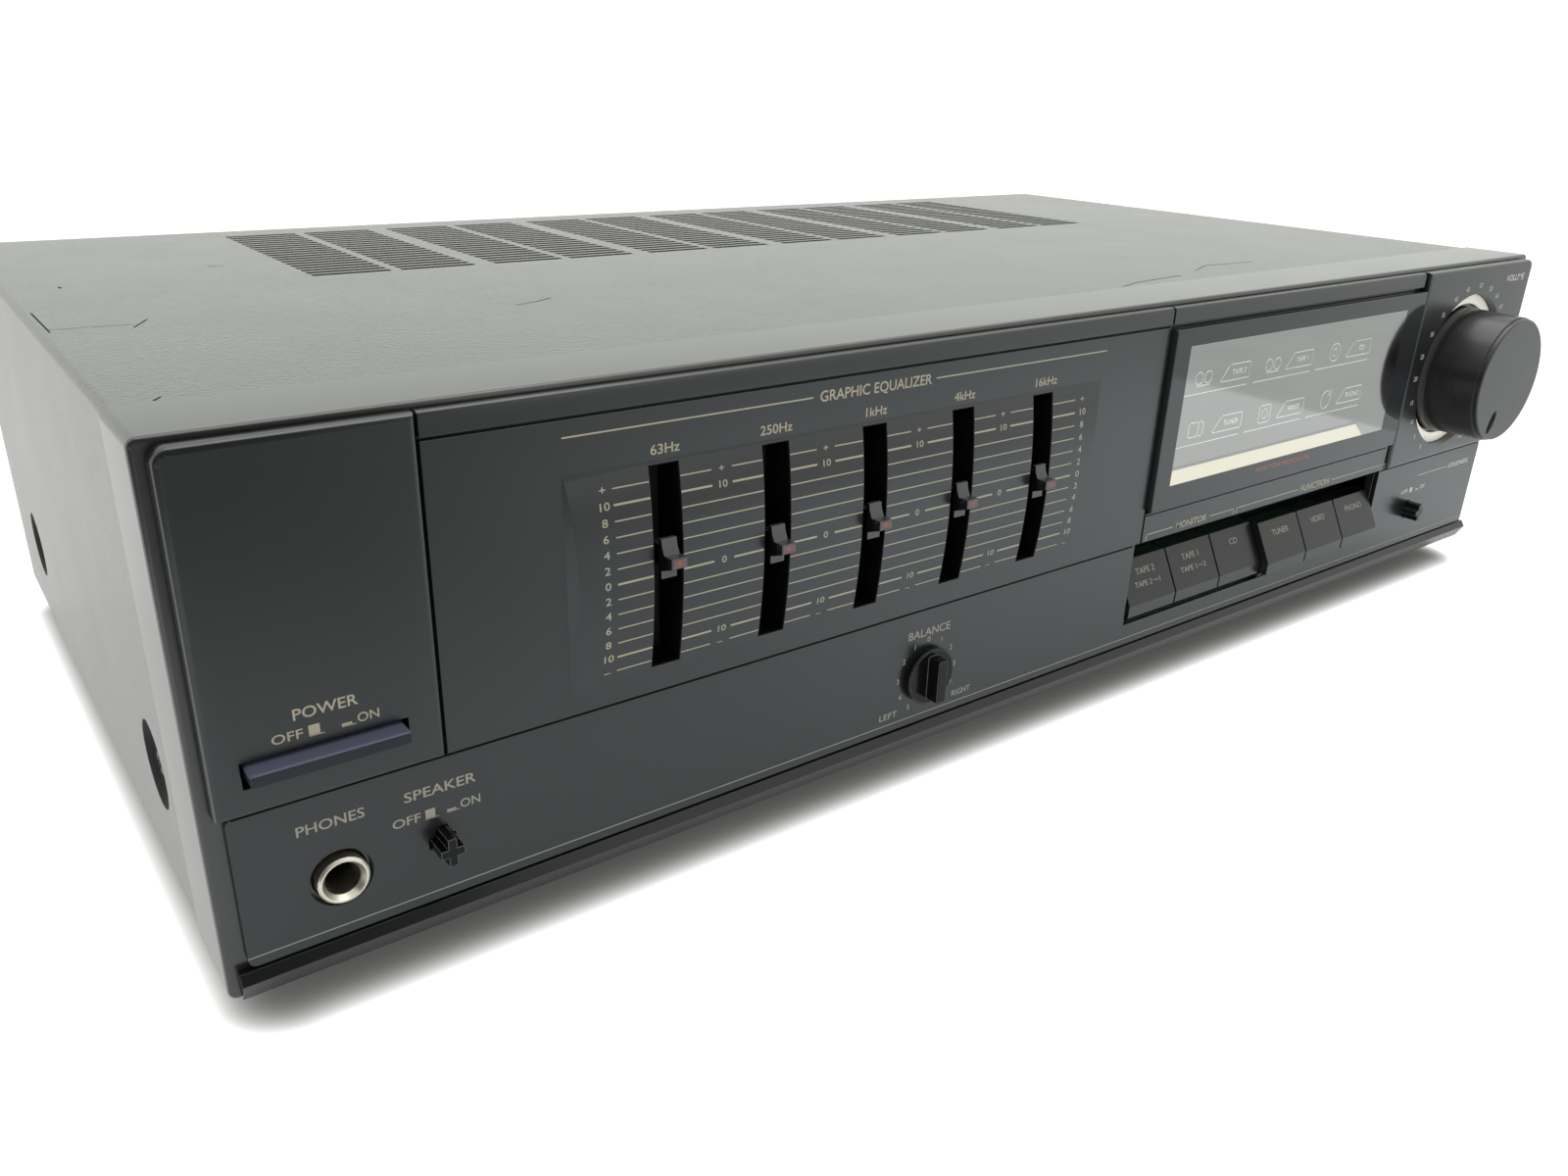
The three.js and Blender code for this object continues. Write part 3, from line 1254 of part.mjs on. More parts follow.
add('foot_front_left', foot(FOOT_SIDE, FOOT_FRONT_Y), 'black');
add('foot_front_right', foot(BEZEL_WIDTH - FOOT_SIDE, FOOT_FRONT_Y), 'black');
add('foot_rear_left', foot(FOOT_SIDE, FOOT_REAR_Y), 'black');
add('foot_rear_right', foot(BEZEL_WIDTH - FOOT_SIDE, FOOT_REAR_Y), 'black');
add('main_board', mainBoard(), 'board');
add('transformer_core', transformerCore(), 'steel');
add('transformer_winding', transformerWinding(), 'winding');
add('heat_sink', heatSink(), 'steel');
add('power_module', powerModule(), 'black');
add('capacitor_left', filterCapacitor(CAPACITOR_X), 'black');
add('capacitor_right', filterCapacitor(CAPACITOR_X + CAPACITOR_PITCH), 'black');
add('input_sockets', inputSockets(), 'black');
add('speaker_terminals', speakerTerminals(), 'black');
add('mains_inlet', mainsInlet(), 'black');

export default amplifier;
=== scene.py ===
"""Looks of the integrated amplifier: finishes, printing, small details, lights and the camera."""

import math

import bmesh
import bpy
from mathutils import Matrix, Vector


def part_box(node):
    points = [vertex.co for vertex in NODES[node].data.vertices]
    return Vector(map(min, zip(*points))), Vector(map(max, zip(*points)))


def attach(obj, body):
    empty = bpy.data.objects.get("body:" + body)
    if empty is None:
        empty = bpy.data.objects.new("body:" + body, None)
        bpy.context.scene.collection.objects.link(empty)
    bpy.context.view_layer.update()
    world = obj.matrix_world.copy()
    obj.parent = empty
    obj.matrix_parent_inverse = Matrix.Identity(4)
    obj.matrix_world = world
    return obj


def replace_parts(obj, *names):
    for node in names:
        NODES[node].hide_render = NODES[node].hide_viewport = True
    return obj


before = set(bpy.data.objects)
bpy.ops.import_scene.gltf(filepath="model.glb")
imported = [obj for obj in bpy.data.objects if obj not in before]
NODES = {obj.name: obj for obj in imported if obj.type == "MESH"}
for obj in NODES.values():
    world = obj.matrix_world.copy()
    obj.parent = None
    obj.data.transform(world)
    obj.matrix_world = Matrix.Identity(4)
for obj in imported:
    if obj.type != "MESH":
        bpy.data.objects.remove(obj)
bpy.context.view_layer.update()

MM = 0.001
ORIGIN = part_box("front_bezel")[0]

# Planes of the front, in millimetres from the front edge of the bezel
LOWER_STRIP = -1.4
EQUALISER = -2.4
BLOCK = -3.4
DISPLAY = -3.9

# The barrel of the equaliser
BARREL_RADIUS = 125.16
BARREL_MIDDLE = 61.45
BARREL_FRONT = -4.2
SCALE_ZERO = 60.9
SCALE_PITCH = 2.98
SLOT_XS = [84.8 + 25.05 * i for i in range(5)]
CAP_MIDDLES = (63.8, 61.4, 61.4, 61.4, 61.4)
SLOT_HALF = 3.3
SLOT_LOW = 41.4
SLOT_HIGH = 81.6

# Middles of the knobs on the front, as x and z
VOLUME_MIDDLE = (382.7, 64.3)
BALANCE_MIDDLE = (156.5, 18.4)

KNOB_FACE = -19.42
COVER_TOP = 97.8
REAR_FACE = 219.7
SOCKET_FACE = 220
LEVER_FACE = 229.4
DISH_FLOORS = ((-1, 2.4), (1, 417.6))
DISH_PLACES = ((38.5, 27), (181.5, 24))

# Prints: the thickness of the ink, and how far it stands out of its surface
INK = 0.03
LIFT = 0.012

# The camera's place, and the plane on which points of the front are read
EYE = Vector((-25.709, -183.334, 147.205))
READING_PLANE = -3


def at(x, y, z):
    """A point in the frame, from millimetres right, back and up of the bezel's low left front corner."""
    return ORIGIN + Vector((x, y, z)) * MM


def numbered(name, count):
    return [f"{name}_{number}" for number in range(1, count + 1)]


def barrel(z):
    """Depth of the barrel's face at height z."""
    rise = z - BARREL_MIDDLE
    return BARREL_FRONT + BARREL_RADIUS - math.sqrt(BARREL_RADIUS**2 - rise**2)


# Camera


def make_camera():
    """The photograph's viewpoint: its axes and focal length come from the straight edges in it."""
    data = bpy.data.cameras.new("camera")
    data.lens = 28.04
    data.sensor_width = 36
    data.sensor_fit = "HORIZONTAL"
    data.clip_start = 0.01
    data.clip_end = 100
    camera = bpy.data.objects.new("camera", data)
    right = Vector((0.8001369, -0.5991843, 0.0275527))
    down = Vector((-0.2137013, -0.3276905, -0.9202993))
    ahead = Vector((0.5604576, 0.7304774, -0.3902437))
    turn = Matrix((right, -down, -ahead)).transposed()
    camera.matrix_world = Matrix.Translation(at(*EYE)) @ turn.to_4x4()
    bpy.context.scene.collection.objects.link(camera)
    bpy.context.scene.camera = camera


# Finishes


def node_maker(tree):
    """A function that adds a node to the tree; settings are its properties, or else its sockets' values."""

    def make(kind, **settings):
        node = tree.nodes.new(kind)
        for key, value in settings.items():
            if hasattr(node, key):
                setattr(node, key, value)
            else:
                node.inputs[key.replace("_", " ")].default_value = value
        return node

    return make


def scaled(color, share):
    """A colour times a number, with full alpha."""
    return tuple(min(c * share, 1) for c in color[:3]) + (1,)


def color_mix(tree, first, second, factor):
    """Mixes two colours, the first of which may come from a socket, and returns the socket of the result."""
    node = tree.nodes.new("ShaderNodeMix")
    node.data_type = "RGBA"
    low, high = [socket for socket in node.inputs if socket.type == "RGBA"]
    if isinstance(first, bpy.types.NodeSocket):
        tree.links.new(first, low)
    else:
        low.default_value = first
    high.default_value = second
    tree.links.new(factor, node.inputs["Factor"])
    return [socket for socket in node.outputs if socket.type == "RGBA"][0]


def remap(tree, value, start, stop, low=0, high=1):
    """Carries a value from the range start..stop over to low..high, clamped, and returns its socket."""
    node = tree.nodes.new("ShaderNodeMapRange")
    for name, number in (("From Min", start), ("From Max", stop), ("To Min", low), ("To Max", high)):
        node.inputs[name].default_value = number
    tree.links.new(value, node.inputs["Value"])
    return node.outputs["Result"]


def chain(tree, socket, *nodes):
    """Links a socket to the first input of a node, that node's first output to the next, and so on."""
    for node in nodes:
        tree.links.new(socket, node.inputs[0])
        socket = node.outputs[0] if node.outputs else None


def finish(
    name,
    color,
    roughness,
    metallic=0,
    ior=1.5,
    spread=0.12,
    grain_size=0.5,
    grain_depth=0.006,
    grain_spread=0.06,
    edge=0.25,
    edge_gain=1.6,
    patchy=0.05,
    tint=(1, 1, 1),
):
    """A painted, moulded or turned finish: broad colour drift, fine grain, and softened edges painted paler,
    partly as wear and partly as a painted highlight along the rims.
    """
    material = bpy.data.materials.new(name)
    material.use_nodes = True
    tree = material.node_tree
    make = node_maker(tree)
    link = tree.links.new
    shader = tree.nodes["Principled BSDF"]
    place = make("ShaderNodeTexCoord")
    broad = make("ShaderNodeTexNoise", Scale=28, Detail=5, Roughness=0.6)
    fine = make("ShaderNodeTexNoise", Scale=1 / (grain_size * MM), Detail=3, Roughness=0.55)
    link(place.outputs["Object"], broad.inputs["Vector"])
    link(place.outputs["Object"], fine.inputs["Vector"])

    drift = color_mix(tree, scaled(color, 1 - spread), scaled(color, 1 + spread), broad.outputs["Fac"])
    speckle = make("ShaderNodeHueSaturation")
    link(remap(tree, fine.outputs["Fac"], 0, 1, 1 - grain_spread, 1 + grain_spread), speckle.inputs["Value"])
    link(drift, speckle.inputs["Color"])

    rounded = make("ShaderNodeBevel", samples=4, Radius=edge * MM)
    sharp = make("ShaderNodeNewGeometry")
    facing = make("ShaderNodeVectorMath", operation="DOT_PRODUCT")
    link(rounded.outputs["Normal"], facing.inputs[0])
    link(sharp.outputs["Normal"], facing.inputs[1])
    # Edges painted paler by edge_gain: partly wear, and partly a painted highlight along rims, strongest on the
    # black controls and the power bar.
    edge_wear_and_highlight = remap(tree, facing.outputs["Value"], 0.965, 0.8)
    link(color_mix(tree, speckle.outputs["Color"], scaled(color, edge_gain), edge_wear_and_highlight), shader.inputs["Base Color"])

    smooth, rough = max(roughness - patchy, 0.01), min(roughness + patchy, 1)
    link(remap(tree, broad.outputs["Fac"], 0.3, 0.7, smooth, rough), shader.inputs["Roughness"])

    bump = make("ShaderNodeBump", Strength=1, Distance=grain_depth * MM)
    link(fine.outputs["Fac"], bump.inputs["Height"])
    link(rounded.outputs["Normal"], bump.inputs["Normal"])
    link(bump.outputs["Normal"], shader.inputs["Normal"])

    shader.inputs["Metallic"].default_value = metallic
    shader.inputs["IOR"].default_value = ior
    shader.inputs["Specular Tint"].default_value = (*tint, 1)
    return material


def shade_faces(material, color, axis, start, stop, both_ways):
    """Painted light and shade: another colour for the faces that look along an axis, such as sides painted
    darker for the shade of a slot, and tops painted lighter for the sky they face.
    """
    tree = material.node_tree
    make = node_maker(tree)
    shader = tree.nodes["Principled BSDF"]
    place = make("ShaderNodeNewGeometry")
    split = make("ShaderNodeSeparateXYZ")
    tree.links.new(place.outputs["Normal"], split.inputs[0])
    along = split.outputs[axis]
    if both_ways:
        size = make("ShaderNodeMath", operation="ABSOLUTE")
        tree.links.new(along, size.inputs[0])
        along = size.outputs[0]
    plain = shader.inputs["Base Color"].links[0].from_socket
    mixed = color_mix(tree, plain, (*color, 1), remap(tree, along, start, stop))
    tree.links.new(mixed, shader.inputs["Base Color"])


def painted_glow(material, color, strength):
    """Painted light: emission that makes a pale ring glow, though it is no lamp, to brighten it as if well lit.
    """
    shader = material.node_tree.nodes["Principled BSDF"]
    shader.inputs["Emission Color"].default_value = (*color, 1)
    shader.inputs["Emission Strength"].default_value = strength


def make_finishes():
    looks = {}

    def add(name, *args, **extra):
        looks[name] = finish(name, *args, **extra)

    bezel_grain = {"grain_size": 0.3, "grain_depth": 0.004, "grain_spread": 0.1}
    cover_grain = {"grain_size": 0.8, "grain_depth": 0.16, "grain_spread": 0.25}
    even = {"spread": 0.06, "patchy": 0.02}
    flat = {"grain_depth": 0}
    ink = {"grain_depth": 0.001}
    scuffed = {"grain_size": 0.2, "grain_spread": 0.5}

    bezel_tone = {"ior": 1.72, "tint": (1, 1, 0.97), "edge": 0.4, "spread": 0.04, "patchy": 0.01}
    cover_tone = {"ior": 1.8, "tint": (0.99, 1, 0.97), "spread": 0.06, "patchy": 0.015}
    cover_edges = {"edge": 0.5, "edge_gain": 2.5}
    add("bezel_plastic", (0.014, 0.0145, 0.0145), 0.2, **bezel_tone, **bezel_grain)
    add("fascia_plastic", (0.0085, 0.009, 0.0095), 0.25, ior=1.6, grain_depth=0.002, tint=(0.97, 1, 1), **even)
    add("moulding_plastic", (0.0065, 0.007, 0.008), 0.25, ior=1.45, grain_depth=0.002, **even)
    add("control_plastic", (0.008, 0.0085, 0.009), 0.28, ior=1.47, grain_depth=0.003, **even)
    add("power_bar", (0.012, 0.013, 0.018), 0.3, ior=1.35, grain_depth=0.003, edge_gain=3)
    add("cap_plastic", (0.05, 0.051, 0.055), 0.22, ior=1.5, grain_depth=0.003)
    # Painted shade on the sides of the caps, and a painted highlight on the top faces of the power bar.
    shade_faces(looks["cap_plastic"], (0.004, 0.004, 0.005), "X", 0.3, 0.6, True)
    shade_faces(looks["power_bar"], (0.09, 0.095, 0.14), "Z", 0.1, 0.3, False)
    add("display_gloss", (0.016, 0.017, 0.018), 0.05, patchy=0.015, edge=0.2, **flat)
    add("circuit_board", (0.02, 0.09, 0.03), 0.5)
    add("ring_print", (0.97, 0.94, 0.83), 0.45, spread=0.03)
    # Painted light: the scale ring glows faintly.
    painted_glow(looks["ring_print"], (1, 0.96, 0.85), 0.16)
    add("black_controls", (0.004, 0.004, 0.0045), 0.2, ior=1.3, grain_depth=0.002, edge=0.3, edge_gain=50)
    add("knob_plastic", (0.012, 0.012, 0.0135), 0.26, ior=1.56, grain_size=0.25, grain_depth=0.003)
    add("bright_metal", (0.78, 0.76, 0.71), 0.22, metallic=1, spread=0.05)
    add("champagne_nickel", (0.7, 0.66, 0.56), 0.36, metallic=1, spread=0.06)
    add("black_plastic", (0.009, 0.009, 0.009), 0.45, ior=1.4)
    add("slot_black", (0.002, 0.002, 0.0022), 0.6, ior=1.15, grain_depth=0.004)
    add("pot_steel", (0.5, 0.5, 0.48), 0.35, metallic=1)
    add("cover_paint", (0.022, 0.0225, 0.021), 0.22, **cover_tone, **cover_edges, **cover_grain)
    add("tray_steel", (0.5, 0.51, 0.5), 0.38, metallic=1)
    add("rear_paint", (0.02, 0.02, 0.021), 0.5, grain_size=0.3, grain_depth=0.01)
    add("foot_rubber", (0.014, 0.014, 0.014), 0.75, grain_size=0.6, grain_depth=0.02)
    add("core_iron", (0.08, 0.075, 0.07), 0.5, metallic=0.6)
    add("winding_tape", (0.55, 0.42, 0.12), 0.35)
    add("sink_aluminium", (0.6, 0.6, 0.6), 0.4, metallic=1)
    add("capacitor_sleeve", (0.02, 0.03, 0.09), 0.3)
    add("print_cream", (0.3, 0.275, 0.2), 0.4, **ink)
    add("print_faded", (0.24, 0.225, 0.185), 0.4, **ink)
    add("print_dim", (0.2, 0.195, 0.17), 0.4, **ink)
    add("print_number", (0.5, 0.5, 0.45), 0.4, **ink)
    add("print_white", (0.62, 0.62, 0.6), 0.08, metallic=1, **flat)
    add("print_red", (0.26, 0.09, 0.08), 0.4)
    add("mark_red", (0.34, 0.05, 0.02), 0.35)
    add("mark_pink", (0.11, 0.065, 0.065), 0.4)
    add("window_grey", (0.315, 0.31, 0.3), 0.06, metallic=1, **flat, **even)
    add("window_edge", (0.26, 0.26, 0.25), 0.1, metallic=1, **flat)
    add("window_bar", (0.7, 0.675, 0.55), 0.1, spread=0.02, **flat)
    add("screw_black", (0.004, 0.004, 0.0042), 0.3, ior=1.3)
    add("zinc_screw", (0.55, 0.54, 0.5), 0.3, metallic=1)
    add("scuff_dark", (0.004, 0.004, 0.004), 0.7, ior=1.2, **scuffed)
    add("jack_red", (0.4, 0.02, 0.02), 0.35)
    add("jack_white", (0.6, 0.6, 0.57), 0.35)
    return looks


# CAD nodes: smooth round faces, and a finish for each


def smoothing_group(limit):
    tree = bpy.data.node_groups.new("smooth_round_faces", "GeometryNodeTree")
    tree.interface.new_socket("Geometry", in_out="INPUT", socket_type="NodeSocketGeometry")
    tree.interface.new_socket("Geometry", in_out="OUTPUT", socket_type="NodeSocketGeometry")
    make = node_maker(tree)
    link = tree.links.new
    start = make("NodeGroupInput")
    plain = make("GeometryNodeRemoveAttribute")
    plain.inputs["Name"].default_value = "custom_normal"
    merge = make("GeometryNodeMergeByDistance", Distance=1e-6)
    rounded = make("GeometryNodeSetShadeSmooth", domain="FACE")
    creased = make("GeometryNodeSetShadeSmooth", domain="EDGE")
    creased.inputs["Shade Smooth"].default_value = False
    angle = make("GeometryNodeInputMeshEdgeAngle")
    wide = make("FunctionNodeCompare", data_type="FLOAT", operation="GREATER_THAN")
    wide.inputs["B"].default_value = limit
    end = make("NodeGroupOutput")
    link(angle.outputs["Unsigned Angle"], wide.inputs["A"])
    link(wide.outputs["Result"], creased.inputs["Selection"])
    chain(tree, start.outputs[0], plain, merge, rounded, creased, end)
    return tree


def dress_nodes(looks):
    group = smoothing_group(math.radians(28))
    for node in NODES.values():
        node.data.materials.clear()
        node.data.materials.append(looks[LOOK_OF[node.name]])
        node.modifiers.new("round", "NODES").node_group = group
        weighted = node.modifiers.new("weighted", "WEIGHTED_NORMAL")
        weighted.keep_sharp = True


FASCIA = ("power_block", "equaliser_panel", "display_surround", "volume_block", "lower_strip")
SWITCHES = ("power_switch", "speaker_switch", "loudness_switch", "key_switch")
REAR_FITTINGS = ("input_sockets", "speaker_terminals", "mains_inlet")
CORNERS = ("front_left", "front_right", "rear_left", "rear_right")
NODES_OF_LOOK = {
    "bezel_plastic": ("front_bezel",),
    "fascia_plastic": FASCIA,
    "moulding_plastic": ("bottom_moulding",),
    "display_gloss": ("display_panel",),
    "circuit_board": ("display_board", "control_board", "main_board"),
    "ring_print": ("scale_ring",),
    "power_bar": ("power_button",),
    "black_controls": ("speaker_button", "loudness_button", "balance_knob"),
    "knob_plastic": ("volume_knob",),
    "champagne_nickel": ("phones_bushing",),
    "bright_metal": ("volume_shaft", "balance_shaft"),
    "black_plastic": ("phones_jack", "power_module", *SWITCHES, *REAR_FITTINGS, *numbered("slide_pot", 5)),
    "pot_steel": ("volume_pot", "balance_pot"),
    "cover_paint": ("top_cover",),
    "tray_steel": ("chassis_tray",),
    "rear_paint": ("rear_panel",),
    "core_iron": ("transformer_core",),
    "winding_tape": ("transformer_winding",),
    "sink_aluminium": ("heat_sink",),
    "capacitor_sleeve": ("capacitor_left", "capacitor_right"),
    "control_plastic": numbered("source_key", 6),
    "cap_plastic": numbered("slider_cap", 5),
    "foot_rubber": [f"foot_{corner}" for corner in CORNERS],
}
LOOK_OF = {node: look for look, nodes in NODES_OF_LOOK.items() for node in nodes}


# Frames, with axes in millimetres


def placed(x, y, z, turn):
    return Matrix.Translation(at(x, y, z)) @ turn.to_4x4() @ Matrix.Scale(MM, 4)


def front_frame(x, y, z):
    """Frame on a plane that faces forward: first axis right, second up, third out of the surface."""
    return placed(x, y, z, Matrix(((1, 0, 0), (0, 0, -1), (0, 1, 0))))


def top_frame(x, y, z):
    """Frame on a plane that faces up: first axis right, second to the back, third up."""
    return placed(x, y, z, Matrix.Identity(3))


def side_frame(x, y, z, sign):
    """Frame on a side of the cover: third axis out of it, which is left for -1 and right for 1."""
    return placed(x, y, z, Matrix(((0, 0, sign), (sign, 0, 0), (0, 1, 0))))


def back_frame(x, y, z):
    """Frame on a plane that faces the back: first axis left, second up, third out of it."""
    return placed(x, y, z, Matrix(((-1, 0, 0), (0, 0, 1), (0, 1, 0))))


def leaning_frame(x, y, z, up_y, up_z):
    """Frame on a surface that leans back: up_y and up_z give the direction that runs up it."""
    up = Vector((0, up_y, up_z)).normalized()
    right = Vector((1, 0, 0))
    return placed(x, y, z, Matrix((right, up, right.cross(up))).transposed())


def barrel_frame(x, z):
    """Frame on the barrel's face."""
    rise = z - BARREL_MIDDLE
    return leaning_frame(x, barrel(z), z, rise, math.sqrt(BARREL_RADIUS**2 - rise**2))


def seen(x, z, y):
    """Where a point read on the reading plane lies at depth y."""
    share = (y - EYE.y) / (READING_PLANE - EYE.y)
    return EYE.x + (x - EYE.x) * share, EYE.z + (z - EYE.z) * share


# Pieces


class Gathered:
    """Forms of one finish that ride on one body, gathered into one piece."""

    def __init__(self, name, body, slot, look):
        self.name = name
        self.body = body
        self.slot = slot
        self.look = look
        self.bm = bmesh.new()

    def weld(self):
        bmesh.ops.remove_doubles(self.bm, verts=self.bm.verts, dist=1e-8)

    def done(self, smooth=0):
        """Adds the piece to the scene, with faces that meet at less than this angle in degrees shaded smooth."""
        bmesh.ops.recalc_face_normals(self.bm, faces=self.bm.faces)
        mesh = bpy.data.meshes.new(self.name)
        self.bm.to_mesh(mesh)
        self.bm.free()
        piece = bpy.data.objects.new(self.name, mesh)
        mesh.materials.append(self.look)
        bpy.context.scene.collection.objects.link(piece)
        if smooth:
            mesh.shade_smooth()
            mesh.set_sharp_from_angle(angle=math.radians(smooth))
        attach(piece, self.body)
        return piece


def circle(radius, steps, u=0, v=0):
    turns = [2 * math.pi * i / steps for i in range(steps)]
    return [(u + radius * math.cos(turn), v + radius * math.sin(turn)) for turn in turns]


class Printing(Gathered):
    """Printed marks of one ink, as thin closed plates."""

    def prism(self, points, where):
        """A thin closed plate of any convex or plain outline."""
        low = [self.bm.verts.new(where @ Vector((u, v, LIFT - INK))) for u, v in points]
        high = [self.bm.verts.new(where @ Vector((u, v, LIFT))) for u, v in points]
        self.bm.faces.new(high)
        self.bm.faces.new(low[::-1])
        for i, _ in enumerate(points):
            j = (i + 1) % len(points)
            self.bm.faces.new((low[i], low[j], high[j], high[i]))

    def bar(self, left, right, bottom, top, where):
        self.prism([(left, bottom), (right, bottom), (right, top), (left, top)], where)

    def stroke(self, points, width, where, closed=False):
        """A line of even width along the points."""
        ends = list(points) + ([points[0]] if closed else [])
        for (ax, ay), (bx, by) in zip(ends, ends[1:]):
            along = Vector((bx - ax, by - ay))
            along.normalize()
            side = Vector((-along.y, along.x)) * width / 2
            reach = along * width / 2
            a = Vector((ax, ay)) - reach
            b = Vector((bx, by)) + reach
            self.prism([a - side, b - side, b + side, a + side], where)

    def ring(self, u, v, radius, width, where, steps=28):
        inner, outer = radius - width / 2, radius + width / 2
        loops = []
        for r, lift in ((inner, LIFT - INK), (outer, LIFT - INK), (outer, LIFT), (inner, LIFT)):
            points = [Vector((*point, lift)) for point in circle(r, steps, u, v)]
            loops.append([self.bm.verts.new(where @ point) for point in points])
        for k in range(4):
            a, b = loops[k], loops[(k + 1) % 4]
            for i in range(steps):
                j = (i + 1) % steps
                self.bm.faces.new((a[i], a[j], b[j], b[i]))

    def words(self, text, where, height, width=None, stretch=1.12, bold=0.012):
        """Words with the given cap height. The width, when given, is that of the whole line."""
        mesh = word_mesh(text, bold)
        span = [v.co.x for v in mesh.vertices]
        across = height * stretch / CAP_HEIGHT
        if width is not None:
            across = width / (max(span) - min(span))
        sizes = Matrix.Diagonal((across, height / CAP_HEIGHT, 1, 1))
        drop = Matrix.Translation((0, -height / 2, LIFT - INK / 2))
        fresh = mesh.copy()
        fresh.transform(where @ drop @ sizes)
        self.bm.from_mesh(fresh)
        bpy.data.meshes.remove(fresh)


WORD_MESHES = {}


def word_mesh(text, bold):
    """A closed mesh of centred words, in the font's own units."""
    key = (text, bold)
    if key not in WORD_MESHES:
        curve = bpy.data.curves.new("words", "FONT")
        curve.body = text
        curve.align_x = "CENTER"
        curve.resolution_u = 3
        curve.extrude = INK / 2
        curve.offset = bold
        maker = bpy.data.objects.new("words", curve)
        bpy.context.scene.collection.objects.link(maker)
        graph = bpy.context.evaluated_depsgraph_get()
        mesh = bpy.data.meshes.new_from_object(maker.evaluated_get(graph))
        bm = bmesh.new()
        bm.from_mesh(mesh)
        bmesh.ops.remove_doubles(bm, verts=bm.verts, dist=1e-5)
        bm.to_mesh(mesh)
        bm.free()
        bpy.data.objects.remove(maker)
        WORD_MESHES[key] = mesh
    return WORD_MESHES[key]


CAP_HEIGHT = max(v.co.y for v in word_mesh("H", 0).vertices)


# Prints on the front


def print_line(ink, x, z, y, text, height, width=None, **extra):
    """Words whose middle is at x, z on the reading plane, drawn at depth y."""
    px, pz = seen(x, z, y)
    ink.words(text, front_frame(px, y, pz), height, width, **extra)


def rule(ink, x0, x1, z, y, thick):
    """A level line, whose ends are on the reading plane."""
    a, pz = seen(x0, z, y)
    b, _ = seen(x1, z, y)
    ink.bar(a, b, -thick / 2, thick / 2, front_frame(0, y, pz))


def upright(ink, x, z0, z1, y, thick):
    """An upright line, whose ends are on the reading plane."""
    px, low = seen(x, z0, y)
    _, high = seen(x, z1, y)
    ink.bar(-thick / 2, thick / 2, low, high, front_frame(px, y, 0))


def switch_mark(ink, out_x, in_x, z, y, size):
    """A tall block on a foot line, and a low block on a line: the two positions of a latching button."""
    px, pz = seen(out_x, z, y)
    where = front_frame(px, y, pz)
    ink.bar(-0.95 * size, 0.85 * size, -0.8 * size, size, where)
    ink.bar(-0.95 * size, 1.5 * size, -size, -0.84 * size, where)
    px, pz = seen(in_x, z, y)
    where = front_frame(px, y, pz)
    ink.bar(-0.95 * size, 0.75 * size, -0.72 * size, -0.28 * size, where)
    ink.bar(-0.95 * size, 1.45 * size, -0.95 * size, -0.78 * size, where)


def print_left(looks):
    ink = Printing("print_power", "case", "fascia_plastic", looks["print_cream"])
    print_line(ink, 20.9, 51.5, BLOCK, "POWER", 1.9, 10.3)
    print_line(ink, 14.6, 48, BLOCK, "OFF", 1.6, 4.9)
    print_line(ink, 27.6, 48, BLOCK, "ON", 1.6, 3.6)
    switch_mark(ink, 18.9, 24.1, 48, BLOCK, 1)
    ink.done()
    faded = Printing("print_speaker", "case", "fascia_plastic", looks["print_faded"])
    print_line(faded, 19.3, 30.3, LOWER_STRIP, "PHONES", 1.9, 11.4)
    print_line(faded, 38.3, 30.3, LOWER_STRIP, "SPEAKER", 1.9, 13.2)
    print_line(faded, 31.9, 25.7, LOWER_STRIP, "OFF", 1.7, 5.1)
    print_line(faded, 43.6, 25.7, LOWER_STRIP, "ON", 1.7, 3.8)
    switch_mark(faded, 36.2, 40.1, 25.7, LOWER_STRIP, 1)
    faded.done()


def print_equaliser(looks):
    ink = Printing("print_equaliser", "case", "fascia_plastic", looks["print_cream"])
    rule(ink, 64.6, 118.4, 89.3, EQUALISER, 0.3)
    rule(ink, 150.9, 205.1, 89.3, EQUALISER, 0.3)
    print_line(ink, 134.8, 89.3, EQUALISER, "GRAPHIC EQUALIZER", 2.1, 29.6)
    bands = (("63Hz", 84.9), ("250Hz", 109.7), ("1kHz", 134.6), ("4kHz", 159.7), ("16kHz", 185))
    for text, x in bands:
        print_line(ink, x, 84.5, EQUALISER, text, 1.8, stretch=1.1)
    left, right = 74.0, 195.9
    middles = [seen(x, 61, -4.2)[0] for x in (98, 123, 148.2, 173.4)]
    for k in range(-6, 7):
        z = SCALE_ZERO + SCALE_PITCH * k
        labelled = k in (0, 5, -5, 6, -6)
        thick = 0.42 if k in (0, 5, -5) else 0.26
        stops = [(x - SLOT_HALF, x + SLOT_HALF) for x in SLOT_XS]
        if labelled:
            stops += [(x - 2.3, x + 2.3) for x in middles]
        stops.sort()
        edges = [left] + [edge for stop in stops for edge in stop] + [right]
        where = barrel_frame(0, z)
        for a, b in zip(edges[::2], edges[1::2]):
            ink.bar(a, b, -thick / 2, thick / 2, where)
        signs = {6: "+", -6: "–", 0: "0", 5: "10", -5: "10"}
        for x in middles if labelled else ():
            ink.words(signs[k], barrel_frame(x, z), 1.35, stretch=1.2)
        text = {6: "+", -6: "–"}.get(k, str(abs(2 * k)))
        for x in (72.0, 198.4):
            ink.words(text, barrel_frame(x, z), 1.45, stretch=1.2)
    ink.done()


